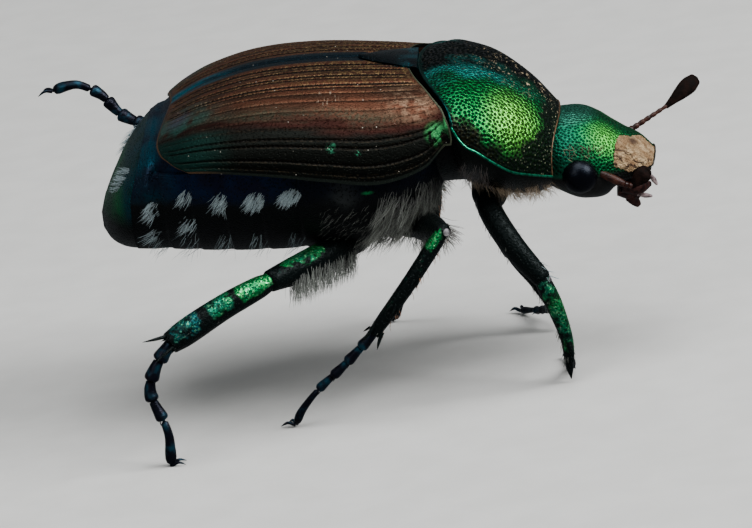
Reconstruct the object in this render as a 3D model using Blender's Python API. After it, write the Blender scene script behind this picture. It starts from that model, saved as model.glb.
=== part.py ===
"""Japanese beetle (Popillia japonica), life size, standing on five feet with one hind leg raised.

All modelling is done in millimetres and scaled to metres at the end. The trunk is described in its own
body frame: +X towards the head, +Y towards the animal's left, +Z up, with the origin inside the thorax.
The body frame is then tilted and lifted onto the floor, which is the plane Z = 0.
"""

import math
import random

import bmesh
import bpy
from mathutils import Euler, Matrix, Vector
from mathutils.bvhtree import BVHTree

MM = 0.001
# Clear space between two nodes that meet.
GAP = 0.08

# How the trunk stands over the floor.
BODY_ROLL = math.radians(3.4)
BODY_PITCH = math.radians(3.7)
BODY_AT = Vector((0.25, -0.13, 4.35))
TO_FLOOR = Matrix.Translation(BODY_AT) @ Euler((BODY_ROLL, BODY_PITCH, 0.0)).to_matrix().to_4x4()

# Elytra, as (x, value) along the body frame.
ELYTRA_HALF_WIDTH = (
    (1.50, 2.38), (0.90, 2.64), (0.00, 2.86), (-1.20, 2.95), (-2.40, 2.86), (-3.20, 2.64), (-3.70, 2.40),
    (-4.20, 2.00),
)
SUTURE_HEIGHT = (
    (1.20, 2.26), (0.30, 2.36), (-1.00, 2.43), (-2.20, 2.36), (-3.20, 2.11), (-3.80, 1.83), (-4.20, 1.55),
)
MARGIN_HEIGHT = (
    (1.50, 1.18), (1.10, 0.82), (0.20, 0.64), (-0.80, 0.80), (-1.80, 0.97), (-3.00, 1.06), (-4.20, 0.95),
)
ELYTRA_SQUARENESS = 2.5
ELYTRON_THICKNESS = 0.50
ELYTRON_TIP_THICKNESS = 0.28
ELYTRON_TIP_SHARE = 0.75
# Where each elytron starts and ends, as (share of the way from the suture to the margin, x).
ELYTRON_BASE = (
    (0.0, 0.86), (0.10, 0.95), (0.25, 1.15), (0.40, 1.30), (0.55, 1.42), (0.70, 1.49), (0.85, 1.53),
    (1.0, 1.54),
)
ELYTRON_APEX = ((0.0, -3.95), (0.5, -4.14), (0.76, -4.06), (0.9, -3.82), (1.0, -3.50))
STRIAE = 6
STRIA_DEPTH = 0.035

# Scutellum, the small shield between the elytra.
SCUTELLUM_FRONT = 0.92
SCUTELLUM_TIP = -0.15
SCUTELLUM_HALF_WIDTH = 0.62
SCUTELLUM_RISE = 0.03

# Each rib is (top x, top z, side x, side y, side z, belly x, belly z).
PROTHORAX = (
    (1.03, 2.20, 1.66, 2.36, 1.55, 1.62, -0.14),
    (1.36, 2.30, 1.86, 2.41, 1.20, 1.80, -0.22),
    (1.70, 2.33, 2.15, 2.42, 1.00, 2.02, -0.30),
    (2.45, 2.16, 2.68, 2.18, 0.53, 2.62, -0.50),
    (3.20, 1.66, 3.12, 1.80, 0.28, 3.12, -0.58),
    (3.74, 1.06, 3.52, 1.42, 0.09, 3.42, -0.50),
)
# How late each rim of the prothorax turns from the side to the top.
PROTHORAX_SWEEP = 3.2
# The deepest point of its hollow rear face.
PROTHORAX_HOLLOW = Vector((1.85, 0.0, 0.90))
HEAD = (
    (3.84, 1.02, 3.62, 1.10, 0.04, 3.52, -0.44),
    (4.12, 1.00, 3.98, 1.17, -0.04, 3.92, -0.72),
    (4.46, 0.87, 4.34, 1.10, -0.12, 4.30, -0.78),
    (4.76, 0.66, 4.60, 0.99, -0.18, 4.54, -0.76),
    (4.94, 0.54, 4.76, 0.93, -0.22, 4.70, -0.70),
)
CLYPEUS = (
    (5.02, 0.48, 4.84, 0.91, -0.14, 4.84, -0.36),
    (5.30, 0.30, 5.16, 0.84, -0.18, 5.14, -0.38),
    (5.54, 0.03, 5.46, 0.52, -0.16, 5.42, -0.34),
)
CLYPEUS_SQUARENESS = 2.6
MOUTH = (
    (4.92, -0.45, 4.86, 0.46, -0.60, 4.80, -0.84),
    (5.14, -0.47, 5.14, 0.44, -0.62, 5.06, -0.95),
    (5.36, -0.44, 5.38, 0.28, -0.56, 5.28, -0.80),
)
PYGIDIUM = (
    (-4.51, 1.34, -4.80, 1.86, 0.34, -4.84, -1.12),
    (-4.90, 0.88, -5.06, 1.56, 0.12, -5.08, -1.08),
    (-5.24, 0.30, -5.30, 1.10, -0.12, -5.32, -0.96),
    (-5.44, -0.12, -5.46, 0.62, -0.30, -5.48, -0.76),
)
PYGIDIUM_TIP = Vector((-5.54, 0.0, -0.46))

# The trunk below the elytra: (x, half width, belly z).
PTEROTHORAX = (
    (1.40, 1.75, -0.12), (1.10, 2.12, -0.52), (0.60, 2.44, -0.92), (0.00, 2.60, -1.16), (-0.50, 2.66, -1.22),
    (-0.86, 2.68, -1.22),
)
ABDOMEN = (
    (-0.94, 2.69, -1.24), (-1.60, 2.74, -1.26), (-2.30, 2.70, -1.26), (-3.00, 2.58, -1.24),
    (-3.60, 2.40, -1.21), (-4.22, 2.14, -1.17),
)
PROPYGIDIUM = (
    (-4.30, 1.48, -4.40, 2.06, 0.62, -4.44, -1.15),
    (-4.43, 1.40, -4.72, 1.90, 0.36, -4.76, -1.12),
)
SEGMENT_LINES = (-1.40, -2.14, -2.86, -3.52, -4.10)
SEGMENT_GROOVE = 0.05
SEGMENT_GROOVE_WIDTH = 0.10
TRUNK_SQUARENESS = 2.2

EYE_AT = Vector((4.05, 1.06, -0.06))
EYE_RADII = Vector((0.35, 0.32, 0.35))

# Coxae, the root pieces that carry the legs: centre and radii on the left side.
FORE_COXA = (Vector((2.24, 0.60, -0.42)), Vector((0.36, 0.52, 0.36)))
MIDDLE_COXA = (Vector((0.66, 0.72, -0.84)), Vector((0.36, 0.50, 0.34)))
HIND_COXA = (Vector((-0.48, 0.92, -1.00)), Vector((0.34, 0.80, 0.30)))

# Legs in the body frame, as points from the root to the knee, to the ankle, and to the toe.
LEGS = {
    "fore_right": (
        ((2.22, -0.90, -0.28), (2.25, -1.42, -0.50), (2.66, -1.92, -1.12), (3.17, -2.20, -1.72)),
        ((3.40, -2.20, -2.36), (3.57, -2.13, -3.05), (3.59, -2.08, -3.52)),
        ((3.60, -1.62, -3.78), (3.57, -1.10, -3.98), (3.55, -0.60, -4.00)),
    ),
    "middle_right": (
        ((0.72, -1.00, -0.80), (1.06, -2.00, -0.58), (1.36, -2.90, -0.36)),
        ((0.62, -3.03, -1.35), (-0.14, -3.00, -2.33)),
        ((-0.84, -2.90, -3.04), (-1.33, -2.80, -3.49), (-1.72, -2.70, -3.97), (-1.86, -2.60, -4.20)),
    ),
    "hind_right": (
        ((-0.50, -1.40, -0.96), (-1.20, -2.14, -1.06), (-2.06, -2.90, -1.14)),
        ((-3.00, -3.35, -1.46), (-4.05, -3.80, -1.95)),
        ((-4.39, -3.90, -2.43), (-4.52, -3.95, -2.90), (-4.25, -4.05, -3.66), (-4.26, -4.05, -4.22)),
    ),
    "fore_left": (
        ((2.16, 0.86, -0.34), (2.08, 1.28, -1.15), (2.50, 1.90, -2.58)),
        ((2.92, 1.84, -3.20), (3.22, 1.66, -3.72)),
        ((3.10, 2.12, -3.96), (2.86, 2.60, -4.14), (2.56, 3.10, -4.20)),
    ),
    "middle_left": (
        ((0.72, 1.00, -0.80), (0.92, 1.86, -0.82), (1.04, 2.70, -0.86)),
        ((0.94, 3.10, -1.90), (0.72, 3.40, -3.00)),
        ((0.42, 3.54, -3.62), (0.10, 3.64, -4.08), (-0.12, 3.72, -4.40)),
    ),
    "hind_left": (
        ((-0.50, 1.40, -0.96), (-1.50, 2.20, -0.90), (-2.60, 2.95, -0.75)),
        ((-3.70, 3.36, -0.36), (-4.75, 3.70, 0.02)),
        ((-5.38, 3.98, 0.28), (-5.78, 4.10, 0.70), (-6.29, 4.20, 0.92), (-6.78, 4.30, 0.78)),
    ),
}
# Half width and half thickness along each piece, by share of its length.
FEMUR_SHAPE = {
    "fore": ((0.0, 0.27, 0.26), (0.35, 0.31, 0.28), (0.70, 0.30, 0.27), (1.0, 0.25, 0.25)),
    "middle": ((0.0, 0.27, 0.26), (0.35, 0.33, 0.29), (0.70, 0.31, 0.27), (1.0, 0.25, 0.25)),
    "hind": ((0.0, 0.30, 0.28), (0.35, 0.38, 0.31), (0.70, 0.35, 0.29), (1.0, 0.26, 0.25)),
}
TIBIA_SHAPE = {
    "fore": ((0.0, 0.24, 0.24), (0.20, 0.26, 0.25), (0.60, 0.26, 0.24), (1.0, 0.21, 0.20)),
    "middle": ((0.0, 0.24, 0.24), (0.20, 0.26, 0.25), (0.85, 0.27, 0.26), (1.0, 0.25, 0.24)),
    "hind": ((0.0, 0.25, 0.25), (0.20, 0.29, 0.27), (0.80, 0.33, 0.29), (1.0, 0.30, 0.27)),
}
KNEE_REACH = 0.35
TARSUS_HALF_WIDTH = 0.23
TARSUS_WAIST = 0.18
TARSOMERES = 5
TARSUS_LAST_SHARE = 0.34
CLAW_LENGTH = 0.34
CLAW_HALF_WIDTH = 0.11
CLAW_SPREAD = 0.19
# How deep the floor cuts into the end of a standing foot, and how high its claw tips are.
FOOT_SINK = 0.05
CLAW_TIP_HEIGHT = 0.05
# A foot whose end is higher than this is held up.
RAISED_ABOVE = 1.0

SPUR_LENGTH = {"middle": 0.42, "hind": 0.70}
SPUR_HALF_WIDTH = 0.11
FORE_TOOTH_LENGTH = 0.52
FORE_TOOTH_HALF_WIDTH = 0.18

# Antennae and palps in the body frame.
# Root, bend, start of the club, and tip.
ANTENNA_LEFT = (
    Vector((4.52, 0.86, -0.16)), Vector((5.14, 1.24, 0.10)), Vector((5.86, 1.50, 0.43)),
    Vector((6.47, 1.90, 0.83)),
)
ANTENNA_RIGHT = (
    Vector((4.34, -0.84, -0.04)), Vector((4.60, -1.19, -0.12)), Vector((5.00, -1.10, -0.36)),
    Vector((5.38, -0.98, -0.08)),
)
# How far short of the club's start the stalk's axis ends.
STALK_STOP = 0.21
STALK_SHAPE = ((0.0, 0.22, 0.22), (0.5, 0.20, 0.20), (1.0, 0.20, 0.20))
CLUB_SHAPE = (
    (0.0, 0.20, 0.17), (0.30, 0.25, 0.20), (0.65, 0.27, 0.21), (0.90, 0.22, 0.18), (1.0, 0.14, 0.13),
)
PALP_SHAPE = ((0.0, 0.13, 0.13), (0.5, 0.15, 0.15), (1.0, 0.09, 0.09))
PALP_LEFT = (Vector((5.20, 0.10, -0.64)), Vector((5.55, 0.17, -0.76)))
PALP_RIGHT = (Vector((5.04, -0.24, -0.74)), Vector((5.42, -0.42, -0.82)))

# White hair tufts on the left side of the body: where each grows, and how large it is.
ABDOMEN_TUFTS = (
    (Vector((-1.60, 2.70, 0.48)), 1.0), (Vector((-2.30, 2.72, 0.42)), 1.0),
    (Vector((-2.98, 2.62, 0.38)), 1.0), (Vector((-3.67, 2.36, 0.42)), 0.9),
    (Vector((-3.73, 2.30, -0.17)), 0.9), (Vector((-4.30, 2.05, 0.18)), 1.0),
    (Vector((-4.42, 1.75, -0.54)), 0.6),
)
PYGIDIUM_TUFT = (Vector((-4.92, 1.15, 0.58)), 1.0)
LOCKS_PER_TUFT = 4
LOCK_LENGTH = 0.52
LOCK_HALF_WIDTH = 0.11
LOCK_FLATNESS = 0.64
LOCK_SPACING = 0.13
LOCK_SINK = 0.05
# How far the locks of a tuft turn apart, and how far they stand off the surface.
LOCK_FAN = 0.09
LOCK_LIFT = 0.16
HAIR_SEED = 7

# Base colour, metallic and roughness of each material.
LOOKS = {
    "green_cuticle": ((0.02, 0.20, 0.06), 0.9, 0.3),
    "blue_green_cuticle": ((0.01, 0.08, 0.07), 0.9, 0.35),
    "copper_elytra": ((0.25, 0.08, 0.03), 0.6, 0.35),
    "black_cuticle": ((0.012, 0.016, 0.016), 0.4, 0.4),
    "brown_mouth": ((0.10, 0.03, 0.015), 0.0, 0.45),
    "clypeus_crust": ((0.42, 0.25, 0.14), 0.0, 0.8),
    "eye": ((0.006, 0.007, 0.014), 0.0, 0.15),
}
# Edges sharper than this stay sharp in the shading.
SHARP_ANGLE = math.radians(38)


def profile(table, x):
    """Smooth value at x of a table of (x, value), whose x may run either way."""
    rows = sorted(table)
    x = min(max(x, rows[0][0]), rows[-1][0])
    i = next((k for k in range(len(rows) - 1) if x <= rows[k + 1][0]), len(rows) - 2)

    def slope(k):
        a, b = max(k - 1, 0), min(k + 1, len(rows) - 1)
        return (rows[b][1] - rows[a][1]) / (rows[b][0] - rows[a][0])

    (x0, y0), (x1, y1) = rows[i], rows[i + 1]
    width = x1 - x0
    t = (x - x0) / width
    return (
        y0 * (2 * t**3 - 3 * t**2 + 1) + slope(i) * width * (t**3 - 2 * t**2 + t)
        + y1 * (3 * t**2 - 2 * t**3) + slope(i + 1) * width * (t**3 - t**2)
    )


def between(stations, share):
    """Smooth tuple of numbers at a share of the way through equally spaced stations."""
    last = len(stations) - 1
    return [profile([(k, row[c]) for k, row in enumerate(stations)], share * last)
            for c in range(len(stations[0]))]


def power(value, squareness):
    return math.copysign(abs(value) ** (2 / squareness), value)


def rib_ring(rib, count, upper, lower, sweep):
    """Closed ring round the trunk through its top, side and belly points."""
    top_x, top_z, side_x, side_y, side_z, belly_x, belly_z = rib
    ring = []
    for k in range(count):
        angle = 2 * math.pi * k / count
        square = upper if angle < math.pi else lower
        across = power(math.cos(angle), square)
        rise = abs(power(math.sin(angle), square))
        goal_x, goal_z = (top_x, top_z) if angle < math.pi else (belly_x, belly_z)
        ring.append(Vector((
            side_x + (goal_x - side_x) * (rise**sweep if angle < math.pi else rise),
            side_y * across,
            side_z + (goal_z - side_z) * rise,
        )))
    return ring


def loft(rings, start, end):
    """Vertices and faces of a closed body through rings, with a fan onto a point at each end."""
    count = len(rings[0])
    points = [p for ring in rings for p in ring] + [start, end]
    first, last, top = len(points) - 2, len(points) - 1, (len(rings) - 1) * count
    faces = []
    for k in range(count):
        m = (k + 1) % count
        faces += [(r * count + k, r * count + m, (r + 1) * count + m, (r + 1) * count + k)
                  for r in range(len(rings) - 1)]
        faces += [(first, m, k), (last, top + k, top + m)]
    return points, faces


def middle_of(ring):
    return sum(ring, Vector()) / len(ring)


def ribbed(ribs, rings, count, start=None, end=None, upper=2.2, lower=2.1, sweep=1.0):
    """Body lofted through a table of ribs."""
    made = [rib_ring(between(ribs, k / (rings - 1)), count, upper, lower, sweep) for k in range(rings)]
    return loft(made, start or middle_of(made[0]), end or middle_of(made[-1]))


def tube(path, shape, count, across, rings, before=0.0, after=0.0):
    """Closed limb along a path; shape gives half width and half thickness by share of its length.

    The half width lies along `across` as nearly as the path lets it, and the half thickness square to
    both. The ends can be drawn out straight, by lengths in millimetres.
    """
    lengths = [0.0]
    for a, b in zip(path, path[1:]):
        lengths.append(lengths[-1] + (b - a).length)
    total = lengths[-1]
    widths = [(s * total, w) for s, w, _ in shape]
    depths = [(s * total, d) for s, _, d in shape]
    tables = [[(s, p[c]) for s, p in zip(lengths, path)] for c in range(3)]

    def at(distance):
        inside = min(max(distance, 0.0), total)
        here = Vector([profile(table, inside) for table in tables])
        if distance < 0.0:
            here += (path[1] - path[0]).normalized() * distance
        if distance > total:
            here += (path[-1] - path[-2]).normalized() * (distance - total)
        return here

    stops = [total * k / (rings - 1) for k in range(rings)]
    stops = ([-before] if before else []) + stops + ([total + after] if after else [])
    step = total * 0.02
    made = []
    for distance in stops:
        here = at(distance)
        ahead = (at(distance + step) - at(distance - step)).normalized()
        side = ahead.cross(across).normalized()
        up = side.cross(ahead)
        wide, deep = profile(widths, distance), profile(depths, distance)
        made.append([here + up * wide * math.sin(2 * math.pi * j / count)
                     + side * deep * math.cos(2 * math.pi * j / count) for j in range(count)])
    start = at(-before - shape[0][2] * 0.5)
    end = at(total + after + shape[-1][2] * 0.5)
    return loft(made, start, end)


def ellipsoid(centre, radii, count=14, rings=8):
    made = []
    for r in range(1, rings):
        polar = math.pi * r / rings
        made.append([centre + Vector((radii.x * math.cos(polar),
                                      radii.y * math.sin(polar) * math.cos(2 * math.pi * k / count),
                                      radii.z * math.sin(polar) * math.sin(2 * math.pi * k / count)))
                     for k in range(count)])
    reach = Vector((radii.x, 0, 0))
    return loft(made, centre + reach, centre - reach)


def both_sides(centre, radii, grow=0.0, count=12, rings=8):
    """The same ellipsoid on the left and on the right, larger by grow."""
    room = Vector((grow, grow, grow))
    return [ellipsoid(c, radii + room, count, rings) for c in (centre, mirrored(centre))]


def mirrored(v):
    return Vector((v.x, -v.y, v.z))


def on_floor(shape):
    points, faces = shape
    return [TO_FLOOR @ p for p in points], faces


def bmesh_of(shape):
    """Mesh of a closed shape, with its faces turned outwards."""
    points, faces = shape
    made = bmesh.new()
    corners = [made.verts.new(p) for p in points]
    for face in faces:
        made.faces.new([corners[k] for k in face])
    bmesh.ops.recalc_face_normals(made, faces=made.faces)
    if made.calc_volume(signed=True) < 0:
        bmesh.ops.reverse_faces(made, faces=made.faces)
    made.normal_update()
    return made


def swollen(shape, amount):
    """The same closed shape with its surface moved outwards."""
    made = bmesh_of(shape)
    made.verts.index_update()
    moved = [v.co + v.normal * amount for v in made.verts]
    faces = [tuple(v.index for v in face.verts) for face in made.faces]
    made.free()
    return moved, faces


def material(name, colour, metallic, roughness):
    made = bpy.data.materials.new(name)
    made.use_nodes = True
    shader = made.node_tree.nodes["Principled BSDF"]
    shader.inputs["Base Color"].default_value = (*colour, 1.0)
    shader.inputs["Metallic"].default_value = metallic
    shader.inputs["Roughness"].default_value = roughness
    made.diffuse_color = (*colour, 1.0)
    return made


def closed_object(name, shape):
    """Object in millimetres from vertices and faces."""
    made = bmesh_of(shape)
    mesh = bpy.data.meshes.new(name)
    made.to_mesh(mesh)
    made.free()
    obj = bpy.data.objects.new(name, mesh)
    bpy.context.scene.collection.objects.link(obj)
    return obj


def boolean(obj, shapes, operation):
    """Joins closed shapes to obj, or cuts them from it, and applies the result."""
    helpers = bpy.data.collections.new(obj.name + "_pieces")
    bpy.context.scene.collection.children.link(helpers)
    for k, shape in enumerate(shapes):
        piece = closed_object(f"{obj.name}_piece_{k}", shape)
        bpy.context.scene.collection.objects.unlink(piece)
        helpers.objects.link(piece)
    modifier = obj.modifiers.new("join", "BOOLEAN")
    modifier.operation = operation
    modifier.operand_type = "COLLECTION"
    modifier.collection = helpers
    modifier.solver = "EXACT"
    bpy.context.view_layer.update()
    result = bpy.data.meshes.new_from_object(obj.evaluated_get(bpy.context.evaluated_depsgraph_get()))
    obj.modifiers.clear()
    obj.data = result
    for piece in list(helpers.objects):
        bpy.data.objects.remove(piece)
    bpy.data.collections.remove(helpers)
    keep_largest(obj)


def keep_largest(obj):
    """Drops every closed surface but the largest."""
    made = bmesh.new()
    made.from_mesh(obj.data)
    left = set(made.faces)
    groups = []
    while left:
        stack, group = [left.pop()], []
        while stack:
            face = stack.pop()
            group.append(face)
            for edge in face.edges:
                for other in edge.link_faces:
                    if other in left:
                        left.remove(other)
                        stack.append(other)
        groups.append(group)
    groups.sort(key=lambda g: sum(f.calc_area() for f in g), reverse=True)
    spare = [face for group in groups[1:] for face in group]
    bmesh.ops.delete(made, geom=spare, context="FACES")
    made.to_mesh(obj.data)
    made.free()


def cut_flat(obj, point, normal):
    """Removes what lies on the side that the normal points away from, and closes the cut flat."""
    made = bmesh.new()
    made.from_mesh(obj.data)
    if min((v.co - point).dot(normal) for v in made.verts) < 0:
        bmesh.ops.bisect_plane(made, geom=[*made.verts, *made.edges, *made.faces], dist=1e-5,
                               plane_co=point, plane_no=normal, clear_inner=True)
        rim = [e for e in made.edges if e.is_boundary]
        bmesh.ops.holes_fill(made, edges=rim, sides=0)
        bmesh.ops.recalc_face_normals(made, faces=made.faces)
    made.to_mesh(obj.data)
    made.free()


def finish(obj, look, stance, at):
    """Gives the object its material, stands it over the floor in metres and sets its origin."""
    obj.data.materials.clear()
    obj.data.materials.append(look)
    obj.data.transform(Matrix.Scale(MM, 4) @ Matrix.Translation(-at))
    obj.location = at * MM
    obj.data.shade_smooth()
    obj.data.set_sharp_from_angle(angle=SHARP_ANGLE)
    obj.parent = stance
    return obj


def scutellum_half_width(x):
    if x <= SCUTELLUM_TIP:
        return -GAP
    share = min((x - SCUTELLUM_TIP) / (SCUTELLUM_FRONT - SCUTELLUM_TIP), 1.0)
    return SCUTELLUM_HALF_WIDTH * share**0.6


def elytron_point(share, v, thickness, groove):
    """Point on an elytron, from the base (share 0) to the apex and from the suture (v 0) to the side."""
    base_x = profile(ELYTRON_BASE, v)
    x = base_x + (profile(ELYTRON_APEX, v) - base_x) * share
    half_width = profile(ELYTRA_HALF_WIDTH, x)
    low, high = profile(MARGIN_HEIGHT, x), profile(SUTURE_HEIGHT, x)
    inner = max(scutellum_half_width(x) + GAP, GAP / 2)
    start = math.asin(min(inner / half_width, 1.0) ** (ELYTRA_SQUARENESS / 2))
    theta = start + (math.pi / 2 - start) * v
    across = math.sin(theta) ** (2 / ELYTRA_SQUARENESS)
    rise = max(math.cos(theta), 0.0) ** (2 / ELYTRA_SQUARENESS)
    ends = min(1.0, 6 * share, 6 * (1 - share))
    dip = groove * (0.5 - 0.5 * math.cos(2 * math.pi * STRIAE * v)) * ends
    y = (half_width - thickness - dip * across) * across
    z = low + (high - thickness - dip - low) * rise
    return Vector((x, max(y, inner), z))


def elytron_thickness(share):
    taper = max(share - ELYTRON_TIP_SHARE, 0.0) / (1 - ELYTRON_TIP_SHARE)
    return ELYTRON_THICKNESS + (ELYTRON_TIP_THICKNESS - ELYTRON_THICKNESS) * taper


def elytron(rows=11, columns=22):
    """Left wing case: a curved plate with rows of grooves on its outer face."""
    outer = [[elytron_point(r / rows, c / columns, 0, STRIA_DEPTH) for c in range(columns + 1)]
             for r in range(rows + 1)]
    inner = [[elytron_point(r / rows, c / columns, elytron_thickness(r / rows), 0)
              for c in range(columns + 1)] for r in range(rows + 1)]
    return plate(outer, inner)


def plate(outer, inner):
    """Closed body between two grids of points of the same size, split into triangles alike."""
    rows, columns = len(outer), len(outer[0])
    points = [p for row in outer for p in row] + [p for row in inner for p in row]
    half = rows * columns

    def index(r, c):
        return r * columns + c

    faces = []
    for r in range(rows - 1):
        for c in range(columns - 1):
            a, b, d, e = index(r, c), index(r, c + 1), index(r + 1, c + 1), index(r + 1, c)
            for triangle in ((a, b, d), (a, d, e)):
                faces += [triangle, tuple(half + k for k in reversed(triangle))]
    rim = [index(0, c) for c in range(columns)]
    rim += [index(r, columns - 1) for r in range(1, rows)]
    rim += [index(rows - 1, c) for c in range(columns - 2, -1, -1)]
    rim += [index(r, 0) for r in range(rows - 2, 0, -1)]
    for a, b in zip(rim, rim[1:] + rim[:1]):
        faces.append((a, half + a, half + b, b))
    return points, faces


def scutellum(rows=8, columns=8):
    outer, inner = [], []
    for r in range(rows + 1):
        x = SCUTELLUM_FRONT + (SCUTELLUM_TIP + 0.03 - SCUTELLUM_FRONT) * r / rows
        half = scutellum_half_width(x)
        high = profile(SUTURE_HEIGHT, x)
        shares = [2 * c / columns - 1 for c in range(columns + 1)]
        outer.append([Vector((x, half * s, high + SCUTELLUM_RISE * (1 - s**2))) for s in shares])
        inner.append([Vector((p.x, p.y, high - ELYTRON_THICKNESS)) for p in outer[-1]])
    return plate(outer, inner)


def covered_ring(x, side_y, belly_z, lower_count=14, upper_count=8):
    """Ring of the trunk below the elytra: a full belly, and a back let in under the wing cases."""
    half_width, low, high = (profile(t, x) for t in (ELYTRA_HALF_WIDTH, MARGIN_HEIGHT, SUTURE_HEIGHT))
    share = (PROTHORAX[0][0] - x) / (PROTHORAX[0][0] - ELYTRON_APEX[0][1])
    thick = elytron_thickness(min(share, 1.0)) + GAP
    side_z = low - GAP
    ring = []
    for k in range(lower_count + 1):
        angle = math.pi * k / lower_count
        ring.append(Vector((x, -side_y * power(math.cos(angle), TRUNK_SQUARENESS),
                            side_z + (belly_z - side_z) * power(math.sin(angle), TRUNK_SQUARENESS))))
    inset = min(half_width - thick, side_y - 0.2)
    for k in range(upper_count + 1):
        angle = math.pi * k / upper_count
        rise, across = (power(f(angle), ELYTRA_SQUARENESS) for f in (math.sin, math.cos))
        ring.append(Vector((x, inset * across, side_z + (high - thick - side_z) * abs(rise))))
    return ring


def full_ring(rib, lower_count=14, upper_count=8):
    """Ring with the same number of points as covered_ring, where no wing case covers the back."""
    top_x, top_z, side_x, side_y, side_z, belly_x, belly_z = rib
    ring = []
    for k in range(lower_count + 1):
        angle = math.pi * k / lower_count
        rise, across = (power(f(angle), TRUNK_SQUARENESS) for f in (math.sin, math.cos))
        ring.append(Vector((
            side_x + (belly_x - side_x) * rise, -side_y * across, side_z + (belly_z - side_z) * rise,
        )))
    for k in range(upper_count + 1):
        angle = math.pi * (0.02 + 0.96 * k / upper_count)
        rise, across = (power(f(angle), TRUNK_SQUARENESS) for f in (math.sin, math.cos))
        ring.append(Vector((side_x + (top_x - side_x) * rise, side_y * across,
                            side_z + (top_z - side_z) * rise)))
    return ring


def pterothorax(rings=9):
    first, last = PTEROTHORAX[0][0], PTEROTHORAX[-1][0]
    xs = [first + (last - first) * k / (rings - 1) for k in range(rings)]
    sides = [(x, y) for x, y, _ in PTEROTHORAX]
    bellies = [(x, z) for x, _, z in PTEROTHORAX]
    made = [covered_ring(x, profile(sides, x), profile(bellies, x)) for x in xs]
    return loft(made, middle_of(made[0]), middle_of(made[-1]))


def abdomen():
    """Abdomen with a groove between each two segments."""
    first, last = ABDOMEN[0][0], ABDOMEN[-1][0]
    xs = {first, last}
    for line in SEGMENT_LINES:
        xs |= {line - SEGMENT_GROOVE_WIDTH, line, line + SEGMENT_GROOVE_WIDTH}
    sides = [(x, y) for x, y, _ in ABDOMEN]
    bellies = [(x, z) for x, _, z in ABDOMEN]
    rings = []
    for x in sorted((x for x in xs if last <= x <= first), reverse=True):
        groove = SEGMENT_GROOVE if x in SEGMENT_LINES else 0.0
        rings.append(covered_ring(x, profile(sides, x) - groove, profile(bellies, x) + groove))
    rings += [full_ring(rib) for rib in PROPYGIDIUM]
    return loft(rings, middle_of(rings[0]), middle_of(rings[-1]))


def spike(root, tip, half_width, bend=Vector(), count=5, rings=3, flat=1.0, across=Vector((0, 0, 1))):
    """Tapered point from root to tip, bowed by bend at its middle."""
    shape = ((0.0, half_width, half_width * flat), (0.5, half_width * 0.75, half_width * 0.75 * flat),
             (1.0, half_width * 0.2, half_width * 0.2))
    if abs((tip - root).normalized().dot(across)) > 0.95:
        across = Vector((1, 0, 0))
    return tube([root, (root + tip) / 2 + bend, tip], shape, count, across, rings)


def tufts(shape, places, lean, draw):
    """Tapered locks of white hair set on a closed shape, lying back along its surface."""
    made = bmesh_of(shape)
    surface = BVHTree.FromBMesh(made)
    locks = []
    for place, size in places:
        for side in (1, -1):
            root, normal, _, _ = surface.find_nearest(Vector((place.x, place.y * side, place.z)))
            lie = lean - normal * lean.dot(normal)
            lie.normalize()
            beside = normal.cross(lie)
            for k in range(LOCKS_PER_TUFT):
                spread = k - (LOCKS_PER_TUFT - 1) / 2
                base = root + beside * spread * LOCK_SPACING * size - lie * LOCK_LENGTH * 0.4
                base += lie * draw.uniform(-0.05, 0.05)
                on, out, _, _ = surface.find_nearest(base)
                fan = spread * LOCK_FAN + draw.uniform(-LOCK_FAN, LOCK_FAN)
                heading = (lie + beside * fan + out * LOCK_LIFT).normalized()
                length = LOCK_LENGTH * size * draw.uniform(0.85, 1.1)
                sunk = on - (out + heading) * LOCK_SINK
                locks.append(spike(sunk, on + heading * length, LOCK_HALF_WIDTH, bend=out * LOCK_SINK,
                                   flat=LOCK_FLATNESS, across=beside))
    made.free()
    return locks


def direction(a, b):
    return (b - a).normalized()


def level_with(ahead):
    """Level direction square to a heading, or the body's left where the heading is upright."""
    level = ahead.cross(Vector((0, 0, 1)))
    return level.normalized() if level.length > 0.25 else Vector((0, 1, 0))


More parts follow.
